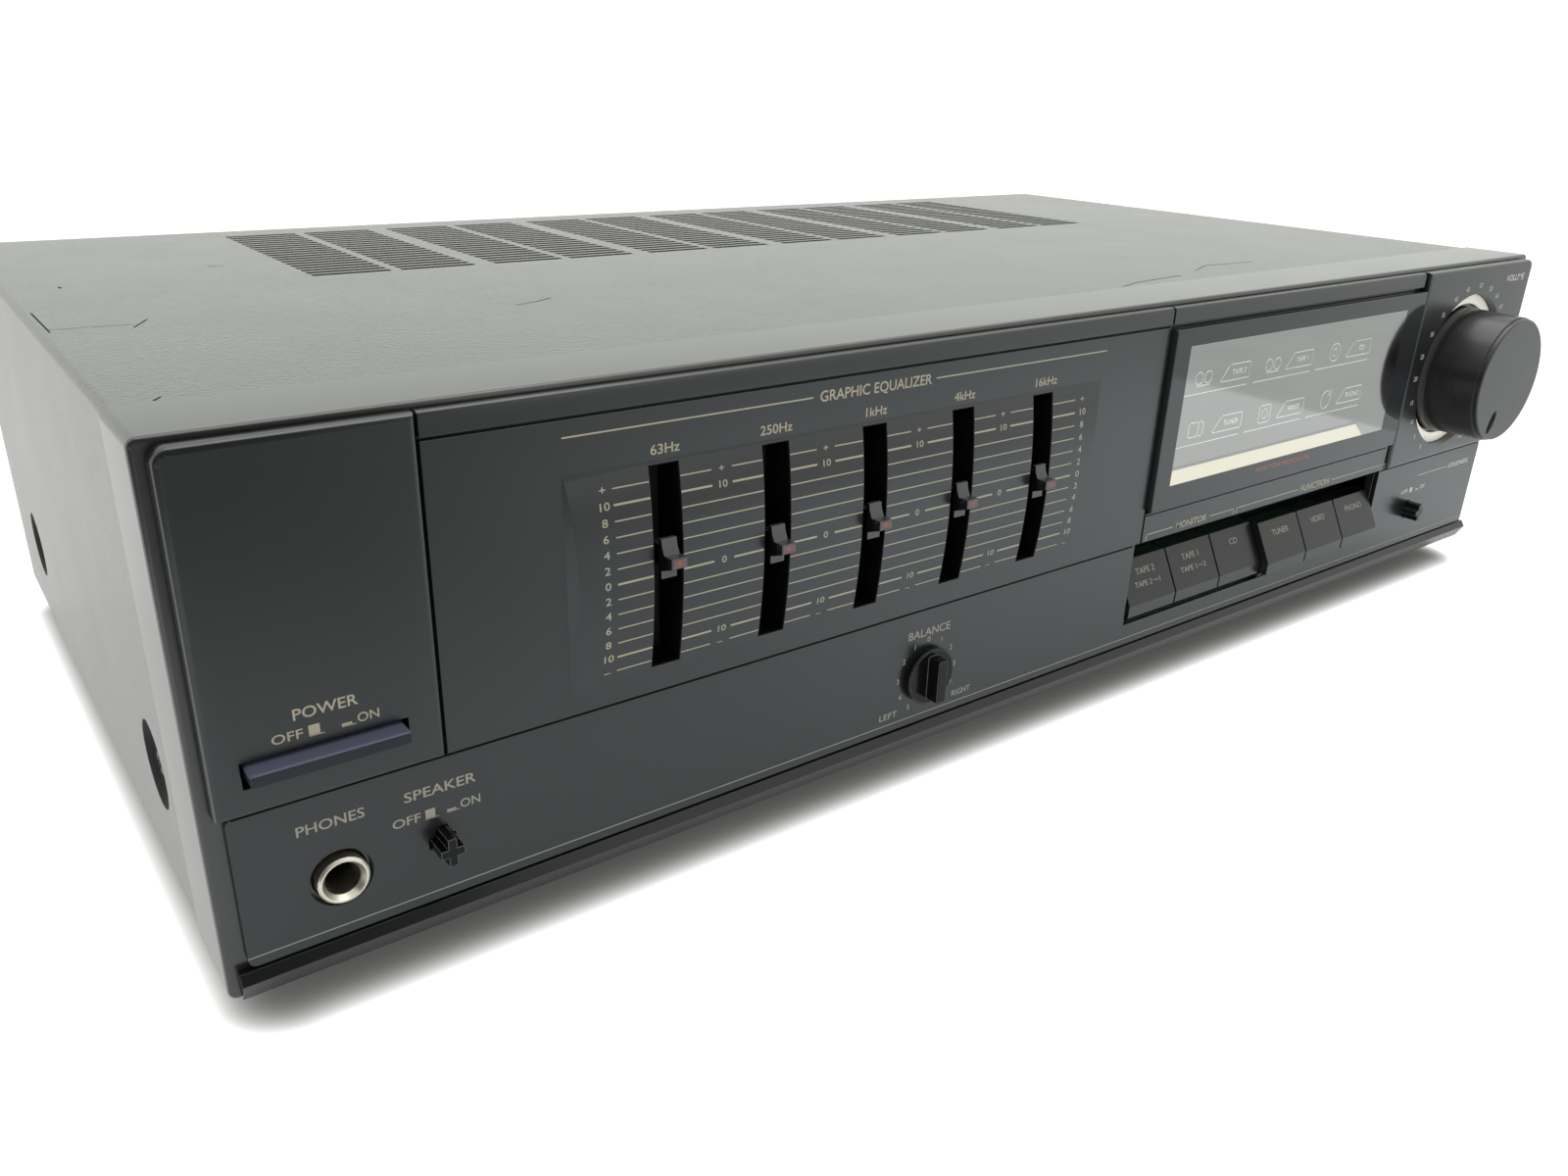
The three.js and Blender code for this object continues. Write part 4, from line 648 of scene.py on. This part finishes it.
def print_brackets(looks):
    ink = Printing("print_source_heads", "case", "fascia_plastic", looks["print_cream"])
    y = EQUALISER
    for x0, x1, t0, t1, text in (
        (231.1, 269.3, 243.4, 256.8, "MONITOR"),
        (270.7, 349.6, 302.5, 317.5, "FUNCTION"),
    ):
        rule(ink, x0, t0 - 1.3, 38.4, y, 0.28)
        rule(ink, t1 + 1.4, x1, 38.4, y, 0.28)
        upright(ink, x0, 36.6, 38.5, y, 0.28)
        upright(ink, x1, 36.6, 38.5, y, 0.28)
        print_line(ink, (t0 + t1) / 2, 38.4, y, text, 1.8, t1 - t0)
    ink.done()


KEYS = (
    ("TAPE 2", "TAPE 2→1"),
    ("TAPE 1", "TAPE 1→2"),
    ("CD",),
    ("TUNER",),
    ("VIDEO",),
    ("PHONO",),
)
KEY_RIDGE = 17.7
KEY_RUN = 5.8
KEY_RISE = 11


def print_keys(looks):
    for i, lines in enumerate(KEYS):
        name = f"source_key_{i + 1}"
        low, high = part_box(name)
        middle = ((low + high) / 2 - ORIGIN).x / MM
        front = (low - ORIGIN).y / MM
        ink = Printing(f"print_key_{i + 1}", name, "control_plastic", looks["print_faded"])
        for row, text in enumerate(lines):
            z = 25.2 - 3.1 * row
            y = front + KEY_RUN * (z - KEY_RIDGE) / KEY_RISE
            where = leaning_frame(middle, y, z, KEY_RUN, KEY_RISE)
            parts = text.split("→")
            if len(parts) == 1:
                ink.words(text, where, 1.7, stretch=1.05)
                continue
            ink.words(parts[0], where @ Matrix.Translation((-1.9, 0, 0)), 1.45, 7.2)
            ink.words(parts[1], where @ Matrix.Translation((5.0, 0, 0)), 1.45)
            ink.stroke([(2.2, 0), (3.9, 0)], 0.2, where)
            ink.prism([(3.5, -0.45), (4.3, 0), (3.5, 0.45)], where)
        ink.done()


def print_balance(looks):
    ink = Printing("print_balance", "case", "fascia_plastic", looks["print_faded"])
    y = LOWER_STRIP
    print_line(ink, 154.9, 30.4, y, "BALANCE", 1.9, 13)
    print_line(ink, 143.7, 11.7, y, "LEFT", 1.5, 5.4)
    print_line(ink, 166.8, 11.7, y, "RIGHT", 1.5, 6.2)
    middle_x, middle_z = BALANCE_MIDDLE
    radius = 8.9
    ink.words("0", front_frame(middle_x, y, middle_z + radius), 1.3)
    for digit, angle in enumerate((28, 56, 88, 117, 145), start=1):
        for side in (-1, 1):
            x = middle_x + side * radius * math.sin(math.radians(angle))
            z = middle_z + radius * math.cos(math.radians(angle))
            ink.words(str(digit), front_frame(x, y, z), 1.3)
    ink.done()
    thin = Printing("print_rule", "case", "fascia_plastic", looks["print_dim"])
    left, pz = seen(3.4, 9.4, y)
    right, _ = seen(412, 9.4, y)
    thin.bar(left, right, -0.13, 0.13, front_frame(0, y, pz))
    thin.done()


# Where the volume scale's numbers stand, in degrees from the right, counter-clockwise
VOLUME_ANGLES = (240.5, 225.8, 211, 195.9, 179.2, 164.4, 149, 133.9, 118.2, 103.6, 86.3)
VOLUME_ANGLES += (70.2, 57.4, 44.4, 29.2, 14.2, -0.9, -16, -31.2, -46.3, -61.4)


def print_volume(looks):
    ink = Printing("print_volume", "case", "fascia_plastic", looks["print_number"])
    y = BLOCK
    where = front_frame(VOLUME_MIDDLE[0], y, VOLUME_MIDDLE[1])
    radius = 26.8
    for number, angle in zip(range(0, 105, 5), VOLUME_ANGLES):
        turn = math.radians(angle)
        middle = Matrix.Translation((radius * math.cos(turn), radius * math.sin(turn), 0))
        ink.words(str(number), where @ middle, 1.45, stretch=1.05, bold=0)
    print_line(ink, 408, 91.9, y, "VOLUME", 1.9, 11.8)
    y = LOWER_STRIP
    print_line(ink, 400.2, 30.5, y, "LOUDNESS", 1.5, 13.6)
    rule(ink, 373.6, 392, 30.5, y, 0.2)
    print_line(ink, 367.0, 26, y, "OFF", 1.35, 4.1)
    print_line(ink, 378.2, 26, y, "ON", 1.35, 3.1)
    switch_mark(ink, 371, 374.8, 26, y, 0.85)
    ink.done()


def tag(ink, x, z, text):
    """A slanted name tag beside a source symbol."""
    where = front_frame(x, DISPLAY - LIFT, z)
    ink.stroke([(-6.4, -2.1), (-2.9, 2.1), (6.3, 2.1), (6.3, -2.1)], 0.22, where, closed=True)
    ink.words(text, where @ Matrix.Translation((1.6, 0, 0)), 1.3, stretch=1.05)


def reels(ink, x, z):
    where = front_frame(x, DISPLAY - LIFT, z)
    for u in (-1.9, 1.9):
        ink.ring(u, 0, 1.55, 0.22, where)
    ink.stroke([(-2.6, -2.0), (2.6, -2.0)], 0.22, where)


def symbol(ink, kind, x, z):
    where = front_frame(x, DISPLAY - LIFT, z)
    if kind == "reels":
        reels(ink, x, z)
    if kind == "disc":
        ink.ring(0, 0, 2.5, 0.22, where)
        ink.ring(0, 0, 1.1, 0.2, where)
    if kind == "tuner":
        ink.stroke([(-3.0, -1.9), (3.0, -1.9), (3.0, 1.9), (-3.0, 1.9)], 0.22, where, closed=True)
        ink.stroke([(1.0, -1.9), (1.0, 1.9)], 0.22, where)
    if kind == "screen":
        ink.stroke([(-2.6, -2.4), (2.6, -2.4), (2.6, 2.4), (-2.6, 2.4)], 0.22, where, closed=True)
        ink.ring(0, 0, 1.3, 0.2, where)
    if kind == "record":
        ink.ring(0, 0, 2.5, 0.22, where)
        ink.stroke([(0.8, 0.9), (2.6, 2.7)], 0.22, where)


def dress_display(looks):
    window = Printing("display_window", "case", "display_gloss", looks["window_grey"])
    left, bottom = seen(237.8, 50.5, DISPLAY)
    right, top = seen(342.2, 86.9, DISPLAY)
    window.bar(left, right, bottom, top, front_frame(0, DISPLAY, 0))
    window.done()

    lift = DISPLAY - LIFT
    edge = Printing("display_bar_edge", "case", "display_gloss", looks["window_edge"])
    rule(edge, 237.8, 326, 55.1, lift, 0.7)
    edge.done()
    bar = Printing("display_bar", "case", "display_gloss", looks["window_bar"])
    a, low = seen(237.8, 50.5, lift)
    b, high = seen(326, 54.6, lift)
    c, _ = seen(331, 50.5, lift)
    bar.prism([(a, low), (c, low), (b, high), (a, high)], front_frame(0, lift, 0))
    bar.done()

    ink = Printing("display_symbols", "case", "display_gloss", looks["print_white"])
    rows = (
        (78.2, 74.2, ("reels", "reels", "disc"), ("TAPE 2", "TAPE 1", "CD")),
        (64.6, 60.6, ("tuner", "screen", "record"), ("TUNER", "VIDEO", "PHONO")),
    )
    xs = ((245.2, 258.9), (275.9, 288.4), (306.1, 318.6))
    lines = ((237.9, 264.6), (267.5, 294.6), (297, 324.5))
    for z, under, kinds, names in rows:
        for (sx, tx), (x0, x1), kind, text in zip(xs, lines, kinds, names):
            px, pz = seen(sx, z, lift)
            symbol(ink, kind, px, pz)
            px, pz = seen(tx, z, lift)
            tag(ink, px, pz, text)
            rule(ink, x0, x1, under, lift, 0.22)
    ink.done()

    red = Printing("display_note", "case", "display_gloss", looks["print_red"])
    print_line(red, 290, 48.4, DISPLAY, "POSITION INDICATOR", 1.2, 26)
    red.done()


# Small pieces


class Solid(Gathered):
    """Closed forms with thickness."""

    def sweep(self, outline, along, length):
        """An outline of points, carried along a vector: a closed prism. Points are in millimetres."""
        near = [self.bm.verts.new(at(*point)) for point in outline]
        step = Vector(along) * length
        far = [self.bm.verts.new(at(*(Vector(point) + step))) for point in outline]
        self.bm.faces.new(near[::-1])
        self.bm.faces.new(far)
        for i, _ in enumerate(near):
            j = (i + 1) % len(near)
            self.bm.faces.new((near[i], near[j], far[j], far[i]))

    def rings(self, loops, where, capped=True):
        """Loops of (u, v, w) points with equal counts, skinned one to the next."""
        rows = [[self.bm.verts.new(where @ Vector(point)) for point in loop] for loop in loops]
        for a, b in zip(rows, rows[1:]):
            for i, _ in enumerate(a):
                j = (i + 1) % len(a)
                self.bm.faces.new((a[i], a[j], b[j], b[i]))
        if capped:
            self.bm.faces.new(rows[0][::-1])
            self.bm.faces.new(rows[-1])


def round_loop(radius, height, steps=40):
    return [(*point, height) for point in circle(radius, steps)]


def cross_loop(arm, half, height, steps=40):
    """A loop in the shape of a screwdriver's cross."""
    loop = []
    for i in range(steps):
        turn = 2 * math.pi * i / steps
        fold = (turn + math.pi / 4) % (math.pi / 2) - math.pi / 4
        reach = arm / math.cos(fold)
        if abs(math.sin(fold)) > 1e-6:
            reach = min(reach, half / abs(math.sin(fold)))
        loop.append((reach * math.cos(turn), reach * math.sin(turn), height))
    return loop


def screw(solid, where, radius, height):
    """A pan head with a cross recess, its seat at the frame's origin."""
    solid.rings(
        [
            round_loop(radius, 0),
            round_loop(radius, height * 0.35),
            round_loop(radius * 0.93, height * 0.68),
            round_loop(radius * 0.78, height * 0.9),
            cross_loop(radius * 0.56, radius * 0.15, height),
            cross_loop(radius * 0.5, radius * 0.12, height * 0.4),
        ],
        where,
    )


def key_aprons(looks):
    """The short upright face below the ridge of each source key."""
    for number in range(1, 7):
        node = f"source_key_{number}"
        low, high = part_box(node)
        left, right = ((v - ORIGIN).x / MM for v in (low, high))
        front = (low - ORIGIN).y / MM
        apron = Solid(f"key_apron_{number}", node, "control_plastic", looks["fascia_plastic"])
        outline = ((0.01, 17.7), (0.12, 14.35), (0.3, 14.1), (2.25, 14.1), (0.7, 16.9))
        points = [(left + 0.02, front + y, z) for y, z in outline]
        apron.sweep(points, (1, 0, 0), right - left - 0.04)
        apron.done()


def slot_shade_linings(looks):
    """Painted shade: matt black sheets on the walls inside the five long slots, where shade falls."""
    shade_lining = Solid("slot_shade_linings", "case", "black_plastic", looks["slot_black"])
    outer, inner, back = 3.17, 2.95, 4.3
    steps = 16
    for x in SLOT_XS:
        low, high = SLOT_LOW + 0.03, SLOT_HIGH - 0.03
        for a, b in ((-outer, -inner), (inner, outer)):
            heights = [low + (high - low) * i / steps for i in range(steps + 1)]
            face = [(x + a, barrel(z) + 0.12, z) for z in heights]
            outline = face + [(x + a, back, high), (x + a, back, low)]
            shade_lining.sweep(outline, (1, 0, 0), b - a)
        for z0, z1 in ((low, low + 0.22), (high - 0.22, high)):
            y = barrel((z0 + z1) / 2) + 0.15
            outline = [(x - inner, y, z0), (x - inner, back, z0), (x - inner, back, z1), (x - inner, y, z1)]
            shade_lining.sweep(outline, (1, 0, 0), 2 * inner)
    shade_lining.done()


def cap_marks(looks):
    """The red mark on the ridge of each slider cap."""
    for number, (x, z) in enumerate(zip(SLOT_XS, CAP_MIDDLES), start=1):
        node = f"slider_cap_{number}"
        front = (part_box(node)[0] - ORIGIN).y / MM
        face = Printing(f"cap_face_{number}", node, "cap_plastic", looks["mark_pink"])
        face.bar(-1.2, 1.5, -0.8, 0.7, front_frame(x, front, z + 0.1))
        face.done()
        mark = Printing(f"cap_mark_{number}", node, "cap_plastic", looks["mark_red"])
        mark.bar(-0.3, 0.25, -0.35, 0.45, front_frame(x, front - LIFT, z + 0.1))
        mark.done()


def seam_shadow_line(looks):
    """Painted shadow: dark prints along the gap between the upper row and the lower strip, where the gap's
    shadow falls.
    """
    line = Printing("seam_shadow_line", "case", "black_plastic", looks["slot_black"])
    where = front_frame(0, LOWER_STRIP, 35.2)
    line.bar(4.6, 228, -0.22, 0.22, where)
    line.bar(351, 415, -0.22, 0.22, where)
    line.bar(229.5, 349, -0.16, 0.16, front_frame(0, EQUALISER, 43.45))
    line.done()


def dish_screws(looks):
    """Black screws in the pressed dishes at both sides of the cover, with dark cups lining nearly the whole of
    each dish as painted shade.
    """
    heads = Solid("side_screws", "case", "bright_metal", looks["screw_black"])
    # Painted shade: a dark lining that covers nearly the whole dish, where it looks dark.
    dish_shade_lining = Solid("side_dish_shade", "case", "bright_metal", looks["slot_black"])
    shade_lining_top = ((2.75, 0.32), (5.4, 0.8), (6.2, 0.97), (8.5, 1.76), (8.65, 1.74))
    shade_lining_back = ((8.5, 1.3), (5.4, 0.05))
    profile = ((2.75, 0.02), *shade_lining_top, *shade_lining_back)
    for side, x in DISH_FLOORS:
        for y, z in DISH_PLACES:
            where = side_frame(x, y, z, side)
            screw(heads, where, 2.7, 1.1)
            loops = [round_loop(radius, height) for radius, height in (*profile, profile[0])]
            dish_shade_lining.rings(loops, where, capped=False)
    dish_shade_lining.weld()
    dish_shade_lining.done(smooth=35)
    heads.done(smooth=35)


def dimple_dark_fill(looks):
    """A dark fill in the teardrop that points on the volume knob."""
    dark_fill = Solid("dimple_dark_fill", "volume_knob", "knob_plastic", looks["slot_black"])
    turn = math.radians(-113)
    steps = 28
    middle_x, middle_z = VOLUME_MIDDLE
    loops = []
    for share, depth in ((0.9, -0.1), (0.45, -0.42)):
        loop = []
        for i in range(steps):
            around = 2 * math.pi * i / steps
            u, v = 13.8 + 4 * share * math.cos(around), 1.7 * share * math.sin(around)
            x = middle_x + u * math.cos(turn) - v * math.sin(turn)
            z = middle_z + u * math.sin(turn) + v * math.cos(turn)
            loop.append((x, KNOB_FACE - depth, z))
        loops.append(loop)
    dark_fill.rings(loops, top_frame(0, 0, 0))
    dark_fill.done()


def tube(solid, where, outside, inside, near, far, ease):
    """A closed tube round the frame's third axis, with an eased mouth at its far end."""
    loops = [
        round_loop(inside, near),
        round_loop(outside, near),
        round_loop(outside, far - ease),
        round_loop(outside - ease, far),
        round_loop(inside + ease, far),
        round_loop(inside, far - ease),
        round_loop(inside, near),
    ]
    solid.rings(loops, where, capped=False)


def rounded_plate(solid, where, half_wide, half_tall, corner, near, far, ease=0.25):
    """A plate with round corners and an eased face."""

    def loop(inset, height):
        points = []
        for k, (sx, sy) in enumerate(((1, 1), (-1, 1), (-1, -1), (1, -1))):
            for i in range(6):
                turn = math.pi / 2 * (k + i / 5)
                u = sx * (half_wide - corner) + (corner - inset) * math.cos(turn)
                v = sy * (half_tall - corner) + (corner - inset) * math.sin(turn)
                points.append((u, v, height))
        return points

    solid.rings([loop(0, near), loop(0, far - ease), loop(ease, far)], where)


def rear_sockets(looks):
    """Two rows of pin sockets: a black base, nickel sleeves and coloured insulators."""
    base = Solid("socket_base", "case", "black_plastic", looks["black_plastic"])
    rounded_plate(base, back_frame(95, SOCKET_FACE, 53), 55, 19, 1.2, 0, 2, 0.3)
    sleeves = Solid("socket_sleeves", "case", "bright_metal", looks["bright_metal"])
    white = Solid("socket_insulators_white", "case", "black_plastic", looks["jack_white"])
    red = Solid("socket_insulators_red", "case", "black_plastic", looks["jack_red"])
    for column in range(6):
        for z, insulator in ((44, red), (62, white)):
            where = back_frame(50 + 18 * column, SOCKET_FACE, z)
            tube(base, where, 6, 4.3, 1.9, 3, 0.2)
            tube(sleeves, where, 4.2, 3.6, 1.9, 10.6, 0.15)
            tube(insulator, where, 3.58, 1.55, 2.1, 8.2, 0.2)
    for solid in (base, sleeves, white, red):
        solid.weld()
    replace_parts(base.done(smooth=35), "input_sockets")
    for solid in (sleeves, white, red):
        solid.done(smooth=35)


def rear_terminals(looks):
    """Coloured faces, with ribs for the thumb, on the levers of the speaker terminals."""
    for name, look, first in (("red", "jack_red", 0), ("black", "black_controls", 1)):
        caps = Solid(f"terminal_levers_{name}", "case", "black_plastic", looks[look])
        for index in range(first, 8, 2):
            where = back_frame(214 + 11.5 * index, LEVER_FACE, 51.5)
            rounded_plate(caps, where, 3.8, 4.3, 0.8, -0.4, 0.55)
            for v in (-2, 0, 2):
                rib = where @ Matrix.Translation((0, v, 0))
                rounded_plate(caps, rib, 3, 0.35, 0.3, 0.4, 0.95, 0.12)
        caps.done(smooth=35)


def rear_screws(looks):
    """Screws of the rear panel, and the nickel pins of the mains inlet."""
    heads = Solid("rear_screws", "case", "bright_metal", looks["zinc_screw"])
    for x, z in ((14, 88), (150, 88), (270, 88), (406, 88), (14, 12), (160, 12), (260, 12), (406, 12)):
        screw(heads, back_frame(x, REAR_FACE, z), 3, 1.7)
    for x in (35.5, 154.5):
        screw(heads, back_frame(x, REAR_FACE, 53), 2.6, 1.5)
    heads.done(smooth=35)
    pins = Solid("inlet_pins", "case", "bright_metal", looks["bright_metal"])
    for x in (367.7, 376.3):
        where = back_frame(x, 209, 30)
        pins.rings([round_loop(1.28, 0.05), round_loop(1.28, 9.7), round_loop(0.9, 10.1)], where)
    pins.done(smooth=35)


# Scratches on top of the cover: start, end and width
SCRATCHES = (
    ((17.0, 81.9), (20.7, 89.1), 0.35),
    ((2.7, 106.0), (2.9, 84.0), 0.35),
    ((12.2, 137.2), (12.3, 135.7), 0.6),
    ((47.7, 154.1), (51.4, 154.1), 0.25),
    ((3.0, 86.7), (17.3, 85.2), 0.12),
    ((8.2, 21.4), (9.4, 23.0), 0.4),
    ((91.9, 70.0), (97.0, 71.6), 0.25),
    ((97.0, 71.6), (102.3, 74.4), 0.4),
    ((240.3, 21.8), (249.0, 24.5), 0.3),
    ((249.0, 24.5), (270.9, 26.7), 0.4),
    ((283.0, 30.6), (294.4, 35.5), 0.25),
    ((294.4, 35.5), (315.4, 34.1), 0.35),
)


def cover_scratches(looks):
    """Fine scratches on top of the cover, from years of use."""
    dark = Printing("scratches_dark", "case", "cover_paint", looks["scuff_dark"])
    for start, end, width in SCRATCHES:
        dark.stroke([start, end], width, top_frame(0, 0, COVER_TOP))
    dark.done()


# Stage


# Height of the paper that lies on the floor, from the bezel's low edge
FLAG_HEIGHT = -7.6


def make_floor():
    """A pale floor with a soft contact shade below the body painted into its glow from the body's footprint,
    brighter to the camera than to polished faces.
    """
    mesh = bpy.data.meshes.new("floor")
    bm = bmesh.new()
    bmesh.ops.create_grid(bm, x_segments=1, y_segments=1, size=30)
    bm.to_mesh(mesh)
    bm.free()
    floor = bpy.data.objects.new("floor", mesh)
    bpy.context.scene.collection.objects.link(floor)
    material = bpy.data.materials.new("floor")
    material.use_nodes = True
    tree = material.node_tree
    make = node_maker(tree)
    shader = tree.nodes["Principled BSDF"]
    shader.inputs["Base Color"].default_value = (0.25, 0.243, 0.233, 1)
    shader.inputs["Emission Color"].default_value = (1, 1, 0.99, 1)
    shader.inputs["Roughness"].default_value = 0.9
    shader.inputs["Specular IOR Level"].default_value = 0

    # Painted shadow: the glow fades out near the body's footprint, in place of its contact shadow.
    place = make("ShaderNodeTexCoord")
    from_middle = make("ShaderNodeVectorMath", operation="SUBTRACT")
    from_middle.inputs[1].default_value = at(210, 110.1, 0)
    level = make("ShaderNodeVectorMath", operation="MULTIPLY")
    level.inputs[1].default_value = (1, 1, 0)
    size = make("ShaderNodeVectorMath", operation="ABSOLUTE")
    past_core = make("ShaderNodeVectorMath", operation="SUBTRACT")
    past_core.inputs[1].default_value = (0.198, 0.1009, 0)
    outside = make("ShaderNodeVectorMath", operation="MAXIMUM")
    away = make("ShaderNodeVectorMath", operation="LENGTH")
    chain(tree, place.outputs["Object"], from_middle, level, size, past_core, outside, away)
    steep = make("ShaderNodeMath", operation="POWER")
    steep.inputs[1].default_value = 4
    tree.links.new(remap(tree, away.outputs["Value"], 0, 0.0135), steep.inputs[0])

    path = make("ShaderNodeLightPath")
    most = make("ShaderNodeMix", data_type="FLOAT")
    most.inputs[2].default_value = 0.92
    most.inputs[3].default_value = 0.72
    gain = make("ShaderNodeMath", operation="MULTIPLY_ADD")
    gain.inputs[2].default_value = 0.05
    tree.links.new(path.outputs["Is Glossy Ray"], most.inputs[0])
    tree.links.new(steep.outputs[0], gain.inputs[0])
    tree.links.new(most.outputs[0], gain.inputs[1])
    tree.links.new(gain.outputs[0], shader.inputs["Emission Strength"])
    mesh.materials.append(material)


def make_world():
    """A white room: a little brighter to the camera, and brighter and faintly green to polished faces."""
    world = bpy.data.worlds.new("world")
    bpy.context.scene.world = world
    world.use_nodes = True
    tree = world.node_tree
    make = node_maker(tree)
    back = tree.nodes["Background"]
    path = make("ShaderNodeLightPath")
    camera_level = make("ShaderNodeMix", data_type="FLOAT")
    camera_level.inputs[2].default_value = 1
    camera_level.inputs[3].default_value = 1.05
    glossy_level = make("ShaderNodeMix", data_type="FLOAT")
    glossy_level.inputs[3].default_value = 1.15
    tree.links.new(path.outputs["Is Camera Ray"], camera_level.inputs[0])
    tree.links.new(path.outputs["Is Glossy Ray"], glossy_level.inputs[0])
    tree.links.new(camera_level.outputs[0], glossy_level.inputs[2])
    tree.links.new(glossy_level.outputs[0], back.inputs["Strength"])
    tone = color_mix(tree, (1, 1, 1, 1), (0.975, 1, 0.95, 1), path.outputs["Is Glossy Ray"])
    tree.links.new(tone, back.inputs["Color"])


def make_lamp():
    lamp = bpy.data.lights.new("soft_box", "AREA")
    lamp.shape = "RECTANGLE"
    lamp.size = 2.4
    lamp.size_y = 1.8
    lamp.energy = 22
    box = bpy.data.objects.new("soft_box", lamp)
    box.location = (0.5, 0.2, 1.9)
    box.rotation_euler = (Vector((0, 0, 0)) - box.location).to_track_quat("-Z", "Y").to_euler()
    bpy.context.scene.collection.objects.link(box)


def make_stage():
    make_floor()
    make_world()
    make_lamp()
    make_flags()
    bpy.context.scene.view_settings.view_transform = "Standard"


def make_flag(name, corners, look):
    """A cloth or a sheet of paper beside the camera, which only polished surfaces mirror."""
    mesh = bpy.data.meshes.new(name)
    bm = bmesh.new()
    bm.faces.new([bm.verts.new(at(*corner)) for corner in corners])
    bm.to_mesh(mesh)
    bm.free()
    flag = bpy.data.objects.new(name, mesh)
    bpy.context.scene.collection.objects.link(flag)
    mesh.materials.append(look)
    flag.visible_camera = False
    flag.visible_diffuse = False
    flag.visible_shadow = False
    flag.visible_transmission = False


def shaded_paper():
    """Pale paper with the soft shade of the camera painted on it: darkest below it, and dimmer far away."""
    material = bpy.data.materials.new("flag_shaded_paper")
    material.use_nodes = True
    tree = material.node_tree
    make = node_maker(tree)
    link = tree.links.new
    shader = tree.nodes["Principled BSDF"]
    shader.inputs["Roughness"].default_value = 1
    shader.inputs["Specular IOR Level"].default_value = 0
    place = make("ShaderNodeTexCoord")
    nearby = make("ShaderNodeVectorMath", operation="SUBTRACT")
    nearby.inputs[1].default_value = at(60, -280, FLAG_HEIGHT)
    squeezed = make("ShaderNodeVectorMath", operation="MULTIPLY")
    squeezed.inputs[1].default_value = (1, 0.77, 0)
    away = make("ShaderNodeVectorMath", operation="LENGTH")
    chain(tree, place.outputs["Object"], nearby, squeezed, away)
    split = make("ShaderNodeSeparateXYZ")
    link(place.outputs["Object"], split.inputs[0])
    both = make("ShaderNodeMath", operation="MULTIPLY")
    link(remap(tree, away.outputs["Value"], 0.04, 0.22, 0.26, 1), both.inputs[0])
    link(remap(tree, split.outputs["Y"], at(0, -290, 0).y, at(0, -350, 0).y, 1, 0.36), both.inputs[1])
    link(color_mix(tree, (0, 0, 0, 1), (0.95, 1, 1, 1), both.outputs[0]), shader.inputs["Base Color"])
    return material


def make_flags():
    cloth = finish("flag_cloth", (0.03, 0.03, 0.03), 0.9)
    paper = finish("flag_paper", (0.66, 0.7, 0.69), 0.9)
    standing = ((-320, -330, 60), (170, -330, 60), (170, -330, 420), (-320, -330, 420))
    low = FLAG_HEIGHT
    near = ((-320, -12, low), (-320, -700, low), (572, -700, low), (566, -116, low), (566, -12, low))
    beyond = ((566.2, -116, low), (572.2, -700, low), (1300, -700, low), (1300, -60, low), (566.2, -60, low))
    left = ((-150, -20, -8), (-150, -330, -8), (-150, -330, 200), (-150, -20, 200))
    make_flag("flag_standing", standing, cloth)
    make_flag("flag_left", left, cloth)
    make_flag("flag_near", near, shaded_paper())
    make_flag("flag_beyond", beyond, paper)


DRESSING = (
    dress_nodes,
    print_left,
    print_equaliser,
    print_brackets,
    print_keys,
    print_balance,
    print_volume,
    dress_display,
    key_aprons,
    slot_shade_linings,
    cap_marks,
    seam_shadow_line,
    dish_screws,
    dimple_dark_fill,
    cover_scratches,
    rear_sockets,
    rear_terminals,
    rear_screws,
)


def main():
    make_camera()
    looks = make_finishes()
    for dress in DRESSING:
        dress(looks)
    make_stage()


main()
